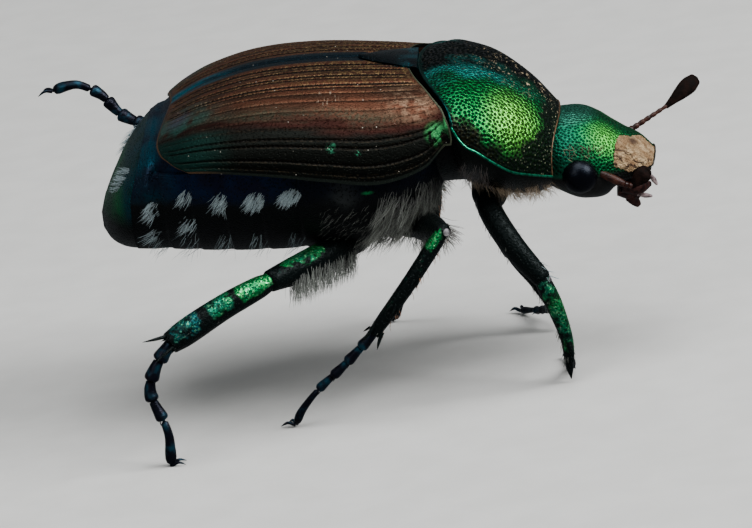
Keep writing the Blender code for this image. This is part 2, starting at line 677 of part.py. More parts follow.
def leg(name, points, bodies, stance, metal, dark):
    """Femur, tibia and tarsus of one leg, parted by flat cuts at the knee and at the ankle."""
    pair = name.split("_")[0]
    femur_path, tibia_path, tarsus_path = ([TO_FLOOR @ Vector(p) for p in group] for group in points)
    if tarsus_path[-1].z < RAISED_ABOVE:
        heading = direction(*tarsus_path[-2:])
        tarsus_path[-1].z = TARSUS_WAIST * math.hypot(heading.x, heading.y) - FOOT_SINK
    knee, ankle = femur_path[-1], tibia_path[-1]
    tibia_path = [knee, *tibia_path]
    tarsus_path = [ankle, *tarsus_path]
    bend = direction(femur_path[0], knee).cross(direction(knee, ankle)).normalized()
    knee_plane = (direction(femur_path[-2], knee) + direction(knee, tibia_path[1])).normalized()
    ankle_plane = (direction(tibia_path[-2], ankle) * 2 + direction(ankle, tarsus_path[1])).normalized()

    across = bend.cross(direction(femur_path[0], knee))
    femur = closed_object(name + "_femur", tube(femur_path, FEMUR_SHAPE[pair], 10, across, 7,
                                                after=KNEE_REACH))
    boolean(femur, bodies, "DIFFERENCE")
    cut_flat(femur, knee - knee_plane * GAP / 2, -knee_plane)
    finish(femur, metal, stance, femur_path[0])

    across = bend.cross(direction(knee, ankle))
    tibia = closed_object(name + "_tibia", tube(tibia_path, TIBIA_SHAPE[pair], 10, across, 7,
                                                before=KNEE_REACH, after=KNEE_REACH))
    cut_flat(tibia, knee + knee_plane * GAP / 2, knee_plane)
    cut_flat(tibia, ankle - ankle_plane * GAP / 2, -ankle_plane)
    boolean(tibia, spurs(pair, tibia_path, across, bend), "UNION")
    cut_flat(tibia, Vector((0, 0, 0)), Vector((0, 0, 1)))
    finish(tibia, metal, stance, knee)

    tarsus = closed_object(name + "_tarsus", tarsus_body(tarsus_path))
    cut_flat(tarsus, ankle + ankle_plane * GAP / 2, ankle_plane)
    boolean(tarsus, claws(tarsus_path), "UNION")
    cut_flat(tarsus, Vector((0, 0, 0)), Vector((0, 0, 1)))
    finish(tarsus, dark, stance, ankle)


def spurs(pair, tibia_path, across, bend):
    """Two spurs at the end of a tibia, or the two teeth of a fore tibia."""
    ankle = tibia_path[-1]
    down = direction(tibia_path[-2], ankle)
    made = []
    if pair == "fore":
        for back, lean in ((0.10, -0.15), (0.62, -1.1)):
            root = ankle - down * back + across * lean * 0.06
            tip = root + (down + across * lean * 0.6).normalized() * FORE_TOOTH_LENGTH
            made.append(spike(root, tip, FORE_TOOTH_HALF_WIDTH, rings=4))
        return made
    for turn in (-1, 1):
        root = ankle - down * 0.22 + bend * 0.12 * turn - across * 0.10
        tip = root + (down - across * 0.42 + bend * 0.22 * turn).normalized() * SPUR_LENGTH[pair]
        made.append(spike(root, tip, SPUR_HALF_WIDTH, rings=4))
    return made


def tarsus_body(path):
    """Five tarsal segments as one bent tube with a waist between each two."""
    shape = []
    share = 0.0
    short = (1 - TARSUS_LAST_SHARE) / (TARSOMERES - 1)
    for k in range(TARSOMERES):
        length = TARSUS_LAST_SHARE if k == TARSOMERES - 1 else short
        shape += [(share, TARSUS_WAIST, TARSUS_WAIST),
                  (share + length * 0.7, TARSUS_HALF_WIDTH, TARSUS_HALF_WIDTH)]
        share += length
    shape.append((1.0, TARSUS_WAIST, TARSUS_WAIST))
    return tube(path, shape, 7, level_with(direction(path[0], path[-1])), 13, before=KNEE_REACH)


def claws(path):
    """Pair of curved claws at the tip of the tarsus."""
    end = path[-1]
    ahead = direction(path[-2], end)
    level = level_with(ahead)
    standing = end.z < RAISED_ABOVE
    forward = level.cross(Vector((0, 0, -1))) if standing else ahead
    made = []
    for turn in (-1, 1):
        root = end + level * 0.06 * turn
        tip = end + forward * CLAW_LENGTH + level * CLAW_SPREAD * turn
        if standing:
            tip.z = CLAW_TIP_HEIGHT
        made.append(spike(root, tip, CLAW_HALF_WIDTH, bend=Vector((0, 0, 0.04)), rings=4))
    return made


def build():
    for obj in list(bpy.data.objects):
        bpy.data.objects.remove(obj)
    draw = random.Random(HAIR_SEED)
    looks = [material(name, *look) for name, look in LOOKS.items()]
    green, blue_green, copper, black, brown, tan, eye = looks

    stance = bpy.data.objects.new("stance", None)
    bpy.context.scene.collection.objects.link(stance)

    def trunk(name, shape, look, at, joined=(), cut=()):
        obj = closed_object(name, on_floor(shape))
        if joined:
            boolean(obj, [on_floor(s) for s in joined], "UNION")
        if cut:
            boolean(obj, [on_floor(s) for s in cut], "DIFFERENCE")
        finish(obj, look, stance, TO_FLOOR @ at)

    skull = ribbed(HEAD, 8, 24)
    shield = ribbed(CLYPEUS, 6, 20, upper=CLYPEUS_SQUARENESS, lower=CLYPEUS_SQUARENESS)
    jaws = ribbed(MOUTH, 5, 16)
    trunk("head", skull, green, Vector((3.64, 0, 0.2)), cut=both_sides(EYE_AT, EYE_RADII, GAP, 14, 8))
    for name, at in (("eye_left", EYE_AT), ("eye_right", mirrored(EYE_AT))):
        trunk(name, ellipsoid(at, EYE_RADII), eye, at)
    trunk("clypeus", shield, tan, Vector((5.15, 0, 0)))
    trunk("mouthparts", jaws, brown, Vector((5.0, 0, -0.6)))
    face = [swollen(shape, GAP) for shape in (skull, shield, jaws)]
    for name, (root, tip) in (("palp_left", PALP_LEFT), ("palp_right", PALP_RIGHT)):
        trunk(name, tube([root, tip], PALP_SHAPE, 8, Vector((0, 1, 0)), 4), brown, root, cut=face[2:])
    for name, (root, bend, start, tip) in (("antenna_left", ANTENNA_LEFT), ("antenna_right", ANTENNA_RIGHT)):
        stop = start - direction(bend, start) * STALK_STOP
        stalk = tube([root, bend, stop], STALK_SHAPE, 8, Vector((0, 0, 1)), 5)
        club = tube([start, tip], CLUB_SHAPE, 10, Vector((0, 0, 1)), 7)
        trunk(name + "_stalk", stalk, brown, root, cut=face)
        trunk(name + "_club", club, black, start, cut=face)

    fore_body = ribbed(PROTHORAX, 11, 30, start=PROTHORAX_HOLLOW, upper=2.3, lower=1.6,
                       sweep=PROTHORAX_SWEEP)
    trunk("prothorax", fore_body, green, Vector((1.5, 0, 0.9)), joined=both_sides(*FORE_COXA))
    trunk("scutellum", scutellum(), blue_green, Vector((0.4, 0, 2.2)))
    left = elytron()
    trunk("elytron_left", left, copper, Vector((1.2, 1.2, 1.8)))
    trunk("elytron_right", ([mirrored(p) for p in left[0]], left[1]), copper, Vector((1.2, -1.2, 1.8)))
    middle_body = pterothorax()
    trunk("pterothorax", middle_body, black, Vector((0.3, 0, 0.4)),
          joined=both_sides(*MIDDLE_COXA) + both_sides(*HIND_COXA), cut=[swollen(fore_body, GAP)])
    hind_body = abdomen()
    trunk("abdomen", hind_body, blue_green, Vector((-0.9, 0, 0.4)),
          joined=tufts(hind_body, ABDOMEN_TUFTS, Vector((-0.45, 0, -0.9)), draw))
    tail = ribbed(PYGIDIUM, 7, 26, end=PYGIDIUM_TIP)
    trunk("pygidium", tail, blue_green, Vector((-4.7, 0, 0.3)),
          joined=tufts(tail, (PYGIDIUM_TUFT,), Vector((-0.6, 0, -0.8)), draw))

    bodies = [on_floor(swollen(shape, GAP)) for shape in (fore_body, middle_body, hind_body)]
    for coxa in (FORE_COXA, MIDDLE_COXA, HIND_COXA):
        bodies += [on_floor(shape) for shape in both_sides(*coxa, grow=GAP)]
    for name, points in LEGS.items():
        leg(name, points, bodies, stance, green, black)


build()
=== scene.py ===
"""Looks of the life-size Japanese beetle: its plates, hairs, materials, floor, light and camera.

Forms are worked out in millimetres in the body frame that the solids use: +X towards the head, +Y towards
the animal's left, +Z up. TO_FLOOR stands them over the floor, and meshes are scaled to metres.
"""

import math
import random

import bmesh
import bpy
from mathutils import Euler, Matrix, Vector, noise
from mathutils.bvhtree import BVHTree
from mathutils.kdtree import KDTree


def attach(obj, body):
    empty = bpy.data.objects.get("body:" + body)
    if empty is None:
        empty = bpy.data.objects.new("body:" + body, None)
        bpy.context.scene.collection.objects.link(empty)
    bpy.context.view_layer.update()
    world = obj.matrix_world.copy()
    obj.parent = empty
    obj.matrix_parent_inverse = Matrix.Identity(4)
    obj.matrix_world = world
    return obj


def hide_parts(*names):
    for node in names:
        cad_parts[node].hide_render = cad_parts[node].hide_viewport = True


MM = 0.001
BODY_ROLL = math.radians(3.4)
BODY_PITCH = math.radians(3.7)
BODY_AT = Vector((0.25, -0.13, 4.35))
TO_FLOOR = Matrix.Translation(BODY_AT) @ Euler((BODY_ROLL, BODY_PITCH, 0.0)).to_matrix().to_4x4()
TO_METRES = Matrix.Scale(MM, 4) @ TO_FLOOR

# The same sizes as the solids: elytra and scutellum, as (x, value).
GAP = 0.08
ELYTRA_HALF_WIDTH = (
    (1.50, 2.38), (0.90, 2.64), (0.00, 2.86), (-1.20, 2.95), (-2.40, 2.86), (-3.20, 2.64), (-3.70, 2.40),
    (-4.20, 2.00),
)
SUTURE_HEIGHT = (
    (1.20, 2.26), (0.30, 2.36), (-1.00, 2.43), (-2.20, 2.36), (-3.20, 2.11), (-3.80, 1.83), (-4.20, 1.55),
)
MARGIN_HEIGHT = (
    (1.50, 1.18), (1.10, 0.82), (0.20, 0.64), (-0.80, 0.80), (-1.80, 0.97), (-3.00, 1.06), (-4.20, 0.95),
)
ELYTRA_SQUARENESS = 2.5
ELYTRON_THICKNESS = 0.22
ELYTRON_APEX = ((0.0, -3.95), (0.5, -4.14), (0.76, -4.06), (0.88, -3.89), (0.95, -3.73), (1.0, -3.50))
ELYTRON_BASE = (
    (0.0, 0.86), (0.10, 0.97), (0.25, 1.18), (0.40, 1.34), (0.55, 1.48), (0.70, 1.57), (0.85, 1.64),
    (0.95, 1.66), (1.0, 1.64),
)
SCUTELLUM_FRONT = 1.02
SCUTELLUM_TIP = -0.15
SCUTELLUM_HALF_WIDTH = 0.66
SCUTELLUM_RISE = 0.04

# Each rib is (top x, top z, side x, side y, side z, belly x, belly z).
PROTHORAX = (
    (1.03, 2.20, 1.66, 2.36, 1.55, 1.62, -0.14),
    (1.36, 2.30, 1.86, 2.41, 1.20, 1.80, -0.22),
    (1.70, 2.33, 2.15, 2.42, 1.00, 2.02, -0.30),
    (2.45, 2.16, 2.68, 2.18, 0.53, 2.62, -0.50),
    (3.20, 1.66, 3.12, 1.80, 0.28, 3.12, -0.58),
    (3.74, 1.06, 3.52, 1.42, 0.09, 3.42, -0.50),
)
PROTHORAX_SWEEP = 3.2
PROTHORAX_HOLLOW = Vector((1.85, 0.0, 0.90))
HEAD = (
    (3.60, 1.00, 3.40, 1.04, 0.06, 3.36, -0.40),
    (4.12, 1.00, 3.98, 1.17, -0.04, 3.92, -0.72),
    (4.46, 0.87, 4.34, 1.10, -0.12, 4.30, -0.78),
    (4.76, 0.66, 4.60, 0.99, -0.16, 4.54, -0.74),
    (4.98, 0.51, 4.80, 0.91, -0.16, 4.74, -0.56),
    (5.30, 0.30, 5.16, 0.84, -0.18, 5.14, -0.36),
    (5.55, 0.04, 5.47, 0.56, -0.14, 5.43, -0.32),
)
MOUTH = (
    (4.80, -0.45, 4.78, 0.44, -0.58, 4.74, -0.84),
    (5.10, -0.42, 5.10, 0.44, -0.62, 5.04, -0.95),
    (5.36, -0.36, 5.38, 0.28, -0.56, 5.28, -0.80),
)
PYGIDIUM = (
    (-4.48, 1.36, -4.77, 1.88, 0.34, -4.81, -1.12),
    (-4.90, 0.88, -5.06, 1.56, 0.12, -5.08, -1.08),
    (-5.24, 0.30, -5.30, 1.10, -0.12, -5.32, -0.96),
    (-5.44, -0.12, -5.46, 0.62, -0.30, -5.48, -0.76),
)
PYGIDIUM_TIP = Vector((-5.54, 0.0, -0.46))
# The rim of the last plate, tucked under the one before it.
TAIL_START = (-4.36, 1.40, -4.66, 1.86, 0.37, -4.70, -1.09)
# The trunk below the elytra: (x, half width, belly z).
UNDER_BODY = (
    (1.40, 1.75, -0.12), (1.10, 2.12, -0.52), (0.60, 2.44, -0.92), (0.00, 2.60, -1.16), (-0.50, 2.66, -1.22),
    (-0.94, 2.69, -1.24), (-1.60, 2.74, -1.26), (-2.30, 2.70, -1.26), (-3.00, 2.58, -1.24),
    (-3.60, 2.40, -1.21), (-4.22, 2.14, -1.17),
)
PROPYGIDIUM = (
    (-4.30, 1.48, -4.40, 2.06, 0.62, -4.44, -1.15),
    (-4.43, 1.42, -4.74, 1.92, 0.36, -4.78, -1.12),
)
SEGMENT_LINES = (-1.40, -2.14, -2.86, -3.52, -4.10)
SEGMENT_STEP = 0.05
BELLY_STEP_SHARE = 0.3
TRUNK_SQUARENESS = 2.2

EYE_AT = Vector((4.05, 1.06, -0.06))
EYE_RADII = Vector((0.35, 0.32, 0.35))
FORE_COXA = (Vector((2.24, 0.60, -0.42)), Vector((0.36, 0.52, 0.36)))
MIDDLE_COXA = (Vector((0.66, 0.72, -0.84)), Vector((0.36, 0.50, 0.34)))
HIND_COXA = (Vector((-0.48, 0.92, -1.00)), Vector((0.34, 0.80, 0.30)))

# Legs in the body frame, as points from the root to the knee, to the ankle, and to the toe.
LEGS = {
    "fore_right": (
        ((2.22, -0.90, -0.28), (2.25, -1.42, -0.50), (2.66, -1.92, -1.12), (3.17, -2.20, -1.72)),
        ((3.40, -2.20, -2.36), (3.57, -2.13, -3.05), (3.59, -2.08, -3.52)),
        ((3.60, -1.62, -3.78), (3.57, -1.10, -3.98), (3.55, -0.60, -4.00)),
    ),
    "middle_right": (
        ((0.72, -1.00, -0.80), (1.06, -2.00, -0.58), (1.36, -2.90, -0.36)),
        ((0.62, -3.03, -1.35), (-0.14, -3.00, -2.33)),
        ((-0.84, -2.90, -3.04), (-1.33, -2.80, -3.49), (-1.72, -2.70, -3.97), (-1.86, -2.60, -4.20)),
    ),
    "hind_right": (
        ((-0.50, -1.40, -0.96), (-1.20, -2.14, -1.06), (-2.06, -2.90, -1.14)),
        ((-3.00, -3.35, -1.46), (-4.05, -3.80, -1.95)),
        ((-4.39, -3.90, -2.43), (-4.52, -3.95, -2.90), (-4.25, -4.05, -3.66), (-4.26, -4.05, -4.22)),
    ),
    "fore_left": (
        ((2.16, 0.86, -0.34), (2.08, 1.28, -1.15), (2.50, 1.90, -2.58)),
        ((2.92, 1.84, -3.20), (3.22, 1.66, -3.72)),
        ((3.10, 2.12, -3.96), (2.86, 2.60, -4.14), (2.56, 3.10, -4.20)),
    ),
    "middle_left": (
        ((0.72, 1.00, -0.80), (0.92, 1.86, -0.82), (1.04, 2.70, -0.86)),
        ((0.94, 3.10, -1.90), (0.72, 3.40, -3.00)),
        ((0.42, 3.54, -3.62), (0.10, 3.64, -4.08), (-0.12, 3.72, -4.40)),
    ),
    "hind_left": (
        ((-0.50, 1.40, -0.96), (-1.50, 2.20, -0.90), (-2.60, 2.95, -0.75)),
        ((-3.70, 3.36, -0.36), (-4.75, 3.70, 0.02)),
        ((-5.38, 3.98, 0.28), (-5.78, 4.10, 0.70), (-6.29, 4.20, 0.92), (-6.78, 4.30, 0.78)),
    ),
}
# True half width and half thickness along each piece, by share of its length.
FEMUR_SHAPE = {
    "fore": ((0.0, 0.24, 0.22), (0.35, 0.28, 0.24), (0.70, 0.27, 0.23), (1.0, 0.20, 0.19)),
    "middle": ((0.0, 0.24, 0.22), (0.35, 0.30, 0.26), (0.70, 0.25, 0.22), (1.0, 0.15, 0.15)),
    "hind": ((0.0, 0.29, 0.27), (0.35, 0.37, 0.31), (0.70, 0.34, 0.28), (1.0, 0.23, 0.22)),
}
TIBIA_SHAPE = {
    "fore": ((0.0, 0.15, 0.15), (0.12, 0.19, 0.17), (0.30, 0.20, 0.17), (0.60, 0.16, 0.14),
             (0.90, 0.12, 0.11), (1.0, 0.11, 0.10)),
    "middle": ((0.0, 0.13, 0.13), (0.12, 0.16, 0.15), (0.50, 0.165, 0.15), (0.85, 0.155, 0.14),
               (1.0, 0.13, 0.12)),
    "hind": ((0.0, 0.17, 0.17), (0.12, 0.24, 0.22), (0.50, 0.28, 0.25), (0.85, 0.30, 0.26),
             (1.0, 0.25, 0.22)),
}
# Painted highlight bands of the limbs: start and end by share of the length, shine, and hue from green (0) to
# teal (1).
FEMUR_BANDS = {
    "fore": ((0.62, 0.93, 0.25, 0.8),), "middle": ((0.3, 0.8, 0.2, 0.5),),
    "hind": ((0.42, 0.84, 0.95, 0.1), (0.86, 0.95, 0.30, 0.9)),
}
TIBIA_BANDS = {
    "fore": ((0.05, 0.22, 0.5, 0.5), (0.20, 0.86, 0.62, 0.30)),
    "middle": ((0.04, 0.20, 1.0, 0.0), (0.20, 0.95, 0.22, 0.5)),
    "hind": ((0.04, 0.34, 1.0, 0.0), (0.40, 0.60, 0.68, 0.40), (0.70, 0.95, 0.62, 0.90)),
}
TARSUS_HALF_WIDTH = {"fore": 0.11, "middle": 0.125, "hind": 0.165}
# Half width and half thickness of a bead of the foot, and of its last one, as shares of the widest.
FOOT_BEAD = ((0.0, 0.66, 0.64), (0.55, 0.88, 0.84), (0.88, 1.0, 0.94), (1.0, 0.76, 0.72))
LAST_BEAD = ((0.0, 0.62, 0.60), (0.5, 0.80, 0.76), (0.85, 1.0, 0.9), (1.0, 0.7, 0.6))
TARSOMERES = 5
TARSUS_LAST_SHARE = 0.36
# A foot whose end is higher than this over the floor is held up.
RAISED_ABOVE = 1.0
CLAW_LENGTH = 0.30
SPUR_LENGTH = {"middle": 0.36, "hind": 0.70}

# Root, bend, start of the club, and tip.
ANTENNAE = {
    "left": (
        Vector((4.62, 0.86, -0.14)), Vector((5.14, 1.20, 0.10)), Vector((5.86, 1.50, 0.43)),
        Vector((6.47, 1.90, 0.83)),
    ),
    "right": (
        Vector((4.42, -0.98, -0.04)), Vector((4.90, -1.12, -0.27)), Vector((5.06, -1.02, -0.36)),
        Vector((5.38, -0.94, -0.06)),
    ),
}
PALPS = {
    "left": (Vector((5.28, 0.10, -0.50)), Vector((5.44, 0.13, -0.56)), Vector((5.54, 0.16, -0.76))),
    "right": (Vector((5.04, -0.26, -0.74)), Vector((5.20, -0.36, -0.78)), Vector((5.42, -0.42, -0.80))),
}

# Each jaw and each half of the lower lip: path on the left, shape, the way its width lies, and its mesh.
JAW = (((4.86, 0.50, -0.50), (5.18, 0.46, -0.58), (5.40, 0.20, -0.62)),
       ((0.0, 0.15, 0.12), (0.5, 0.15, 0.12), (1.0, 0.06, 0.05)), Vector((0, 0, 1)), 18, 18)
LABIUM = (((4.98, 0.22, -0.84), (5.10, 0.24, -0.96), (5.14, 0.22, -1.02)),
          ((0.0, 0.12, 0.11), (0.6, 0.11, 0.10), (1.0, 0.07, 0.07)), Vector((0, 1, 0)), 16, 14)

# Rows of punctures on each elytron: share of the way from the suture to the margin, and strength.
STRIAE = (
    (0.068, 0.9), (0.095, 0.5), (0.122, 0.95), (0.180, 0.95), (0.207, 0.6), (0.268, 1.0), (0.297, 0.6),
    (0.35, 0.5), (0.42, 0.5), (0.50, 0.45), (0.57, 0.45), (0.645, 0.5), (0.73, 0.8), (0.785, 0.9),
    (0.90, 0.9), (0.96, 0.5),
)
STRIA_DEPTH = 0.024
STRIA_HALF_WIDTH = 0.040
PUNCTURE_STEP = 0.088
PUNCTURE_DEPTH = 0.014
ELYTRON_BREADTH = 4.3
ELYTRON_EDGE_THICKNESS = 0.08
ELYTRON_EDGE_ROLL = 0.025
PRONOTUM_PITS = (0.071, 0.038, 0.016)
HEAD_PITS = (0.054, 0.031, 0.013)

# How far off, as a share of its length, the points lie that give a path's direction at a point.
PATH_REACH = 0.02

TUFT_HAIR = 0.0062
WOOL_HAIR = 0.0062
# White tufts on one side: x and z of the middle, half length and half height, number and length of hairs,
# and their heading.
DOWN_BACK = Vector((-0.62, 0.0, -0.78))
LEVEL_BACK = Vector((-0.86, 0.0, -0.42))
FLANK_TUFTS = (
    (-1.55, 0.48, 0.19, 0.12, 190, 0.30, DOWN_BACK), (-2.25, 0.42, 0.16, 0.17, 150, 0.32, DOWN_BACK),
    (-2.94, 0.38, 0.12, 0.20, 84, 0.34, DOWN_BACK), (-3.64, 0.46, 0.09, 0.16, 52, 0.36, DOWN_BACK),
    (-3.64, -0.18, 0.13, 0.20, 40, 0.42, DOWN_BACK), (-4.32, 0.13, 0.11, 0.20, 76, 0.36, DOWN_BACK),
    (-4.38, -0.48, 0.12, 0.16, 36, 0.38, LEVEL_BACK),
)
TAIL_TUFT = (1.42, 0.66, 0.12, 0.25, 76, 0.38)
# How far a tuft's roots lie ahead of its middle, as a share of the length of its hairs.
TUFT_SHIFT = 0.35
# How deep the root of a hair sits in the skin.
ROOT_DEPTH = 0.02
HAIR_RINGS = 5
HAIR_SEED = 7
DUST = (0.42, 0.33, 0.21)

# Where the camera stands, as turns about the body frame, and how it frames the animal.
CAMERA_AZIMUTH = math.radians(3.5)
CAMERA_ELEVATION = math.radians(19.5)
CAMERA_ROLL = math.radians(5.16)
CAMERA_DISTANCE = 104.0
CAMERA_LOWERED = 1.8648
CAMERA_LENS = 250.4
CAMERA_SENSOR = 36.0


def profile(table, x):
    """Smooth value at x of a table of (x, value), whose x may run either way."""
    rows = sorted(table)
    x = min(max(x, rows[0][0]), rows[-1][0])
    i = next((k for k in range(len(rows) - 1) if x <= rows[k + 1][0]), len(rows) - 2)

    def slope(k):
        a, b = max(k - 1, 0), min(k + 1, len(rows) - 1)
        return (rows[b][1] - rows[a][1]) / (rows[b][0] - rows[a][0])

    (x0, y0), (x1, y1) = rows[i], rows[i + 1]
    width = x1 - x0
    t = (x - x0) / width
    return (
        y0 * (2 * t**3 - 3 * t**2 + 1) + slope(i) * width * (t**3 - 2 * t**2 + t)
        + y1 * (3 * t**2 - 2 * t**3) + slope(i + 1) * width * (t**3 - t**2)
    )


def between(stations, share):
    """Smooth tuple of numbers at a share of the way through equally spaced stations."""
    last = len(stations) - 1
    return [profile([(k, row[c]) for k, row in enumerate(stations)], share * last)
            for c in range(len(stations[0]))]


def power(value, squareness):
    return math.copysign(abs(value) ** (2 / squareness), value)


def smooth(value, low, high):
    t = min(max((value - low) / (high - low), 0.0), 1.0)
    return t * t * (3 - 2 * t)


def direction(a, b):
    return (b - a).normalized()


def mirrored(v):
    return Vector((v.x, -v.y, v.z))


def rib_point(rib, angle, upper, lower, sweep=1.0):
    """Point on a rib: angle 0 is the left side, a quarter turn the top, three quarters the belly."""
    top_x, top_z, side_x, side_y, side_z, belly_x, belly_z = rib
    square = upper if angle < math.pi else lower
    rise = abs(power(math.sin(angle), square))
    goal_x, goal_z = (top_x, top_z) if angle < math.pi else (belly_x, belly_z)
    return Vector((
        side_x + (goal_x - side_x) * (rise**sweep if angle < math.pi else rise),
        side_y * power(math.cos(angle), square),
        side_z + (goal_z - side_z) * rise,
    ))


def scattered(points, apart, draw):
    """Points picked at random, of which none lies nearer to another than apart."""
    kept, cells = [], {}
    around = [(i, j, k) for i in (-1, 0, 1) for j in (-1, 0, 1) for k in (-1, 0, 1)]
    for p in draw.sample(points, len(points)):
        home = tuple(math.floor(c / apart) for c in p)
        near = (q for step in around for q in cells.get(tuple(a + b for a, b in zip(home, step)), ()))
        if all((p - q).length_squared >= apart * apart for q in near):
            cells.setdefault(home, []).append(p)
            kept.append(p)
    return kept


class Form:
    """Points and faces in the body frame, with a place on the form for each point that its look reads."""

    def __init__(self):
        self.points = []
        self.lay = []
        self.faces = []

    def add(self, points, lay, faces):
        first = len(self.points)
        self.points += points
        self.lay += lay
        self.faces += [tuple(first + k for k in face) for face in faces]
        return self

    def join(self, other):
        return self.add(other.points, other.lay, other.faces)

    def loft(self, rings, start=None, end=None, shares=None):
        """Closed body through rings. lay is the share along and the share round."""
        count, rows = len(rings[0]), len(rings)
        points = [p for ring in rings for p in ring]
        shares = shares or [k / count for k in range(count)]
        lay = [(r / (rows - 1), share, 0.0) for r in range(rows) for share in shares]
        points += [start or sum(rings[0], Vector()) / count, end or sum(rings[-1], Vector()) / count]
        lay += [(0.0, 0.0, 0.0), (1.0, 0.0, 0.0)]
        top = (rows - 1) * count
        faces = []
        for k in range(count):
            m = (k + 1) % count
            faces += [(r * count + k, r * count + m, (r + 1) * count + m, (r + 1) * count + k)
                      for r in range(rows - 1)]
            faces += [(len(points) - 2, m, k), (len(points) - 1, top + k, top + m)]
        return self.add(points, lay, faces)

    def tree(self):
        return BVHTree.FromPolygons(self.points, self.faces)

    def mesh(self, name):
        mesh = bpy.data.meshes.new(name)
        mesh.from_pydata(self.points, [], self.faces)
        made = bmesh.new()
        made.from_mesh(mesh)
        bmesh.ops.recalc_face_normals(made, faces=made.faces)
        made.to_mesh(mesh)
        made.free()
        return mesh

    def pit(self, chosen, sizes, draw):
        """Sinks small round pits among the chosen points; lay keeps how deep in one each point lies."""
        apart, radius, depth = sizes
        centres = scattered([p for p, place in zip(self.points, self.lay) if chosen(p, place)], apart, draw)
        tree = KDTree(len(centres))
        for k, centre in enumerate(centres):
            tree.insert(centre, k)
        tree.balance()
        shape = self.mesh("shape")
        normals = [n.vector.copy() for n in shape.vertex_normals]
        bpy.data.meshes.remove(shape)
        for k, p in enumerate(self.points):
            deep = max(1 - (tree.find(p)[2] / radius) ** 2, 0.0)
            self.lay[k] = (*self.lay[k][:2], deep)
            self.points[k] = p - normals[k] * depth * deep
        return self

    def piece(self, name, look, slot, nodes=(), angle=50):
        """Object of the part, with the form's places kept as attributes."""
        mesh = self.mesh(name)
        for key, places in (("spot", self.points), ("lay", self.lay)):
            made = mesh.attributes.new(key, "FLOAT_VECTOR", "POINT")
            made.data.foreach_set("vector", [c for place in places for c in place])
        mesh.transform(TO_METRES)
        mesh.shade_smooth()
        mesh.set_sharp_from_angle(angle=math.radians(angle))
        mesh.materials.append(look)
        obj = bpy.data.objects.new(name, mesh)
        bpy.context.scene.collection.objects.link(obj)
        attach(obj, "root")
        if nodes:
            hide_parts(*nodes)
        return obj


def path_at(path, distance):
    """Point at a distance along a smooth path; past its ends the path runs on straight."""
    lengths = [0.0]
    for a, b in zip(path, path[1:]):
        lengths.append(lengths[-1] + (b - a).length)
    inside = min(max(distance, 0.0), lengths[-1])
    here = Vector([profile([(s, p[c]) for s, p in zip(lengths, path)], inside) for c in range(3)])
    if distance < 0.0:
        here += direction(path[0], path[1]) * distance
    if distance > lengths[-1]:
        here += direction(path[-2], path[-1]) * (distance - lengths[-1])
    return here


def path_length(path):
    return sum((b - a).length for a, b in zip(path, path[1:]))


def tube_rings(path, shape, count, across, rows, before=0.0, after=0.0):
    """Rings along a path; shape gives half width, along `across`, and half thickness by share of length."""
    total = path_length(path)
    made = []
    for r in range(rows):
        distance = -before + (total + before + after) * r / (rows - 1)
        share = distance / total
        reach = total * PATH_REACH
        ahead = direction(path_at(path, distance - reach), path_at(path, distance + reach))
        side = ahead.cross(across).normalized()
        up = side.cross(ahead)
        wide = profile([(s, w) for s, w, _ in shape], share)
        deep = profile([(s, d) for s, _, d in shape], share)
        for past, reach in ((-distance, before), (distance - total, after)):
            if reach:
                close = math.sqrt(max(1 - max(past / reach, 0.0) ** 2, 0.0))
                wide, deep = wide * close, deep * close
        here = path_at(path, distance)
        made.append([here + up * wide * math.sin(2 * math.pi * j / count)
                     + side * deep * math.cos(2 * math.pi * j / count) for j in range(count)])
    return made


def tube(path, shape, across=Vector((0, 0, 1)), count=20, rows=30, before=0.0, after=0.0):
    return Form().loft(tube_rings(path, shape, count, across, rows, before, after))


def rounded(size, *stations):
    """Shape of a round tube, from a factor on size at each share of its length."""
    return [(share, size * factor, size * factor) for share, factor in stations]


def spike(root, tip, half_width, bend=Vector()):
    """Tapered point from root to tip, bowed by bend at its middle."""
    upright = abs(direction(root, tip).z) > 0.95
    shape = rounded(half_width, (0.0, 1), (0.6, 0.7), (1.0, 0.08))
    return tube([root, (root + tip) / 2 + bend, tip], shape, Vector((upright, 0, not upright)), 8, 7)


def ball(centre, radius, count, rows):
    return ellipsoid(centre, Vector((radius, radius, radius)), count, rows)


def on_both_sides(centre, radii):
    return ellipsoid(centre, radii).join(ellipsoid(mirrored(centre), radii))


def ellipsoid(centre, radii, count=40, rows=24):
    rings = []
    for r in range(1, rows):
        polar = math.pi * r / rows
        rings.append([Vector((radii.x * math.cos(polar),
                              radii.y * math.sin(polar) * math.cos(2 * math.pi * k / count),
                              radii.z * math.sin(polar) * math.sin(2 * math.pi * k / count)))
                      for k in range(count)])
    made = Form().loft(rings, Vector((radii.x, 0, 0)), Vector((-radii.x, 0, 0)))
    made.points = [p + centre for p in made.points]
    return made


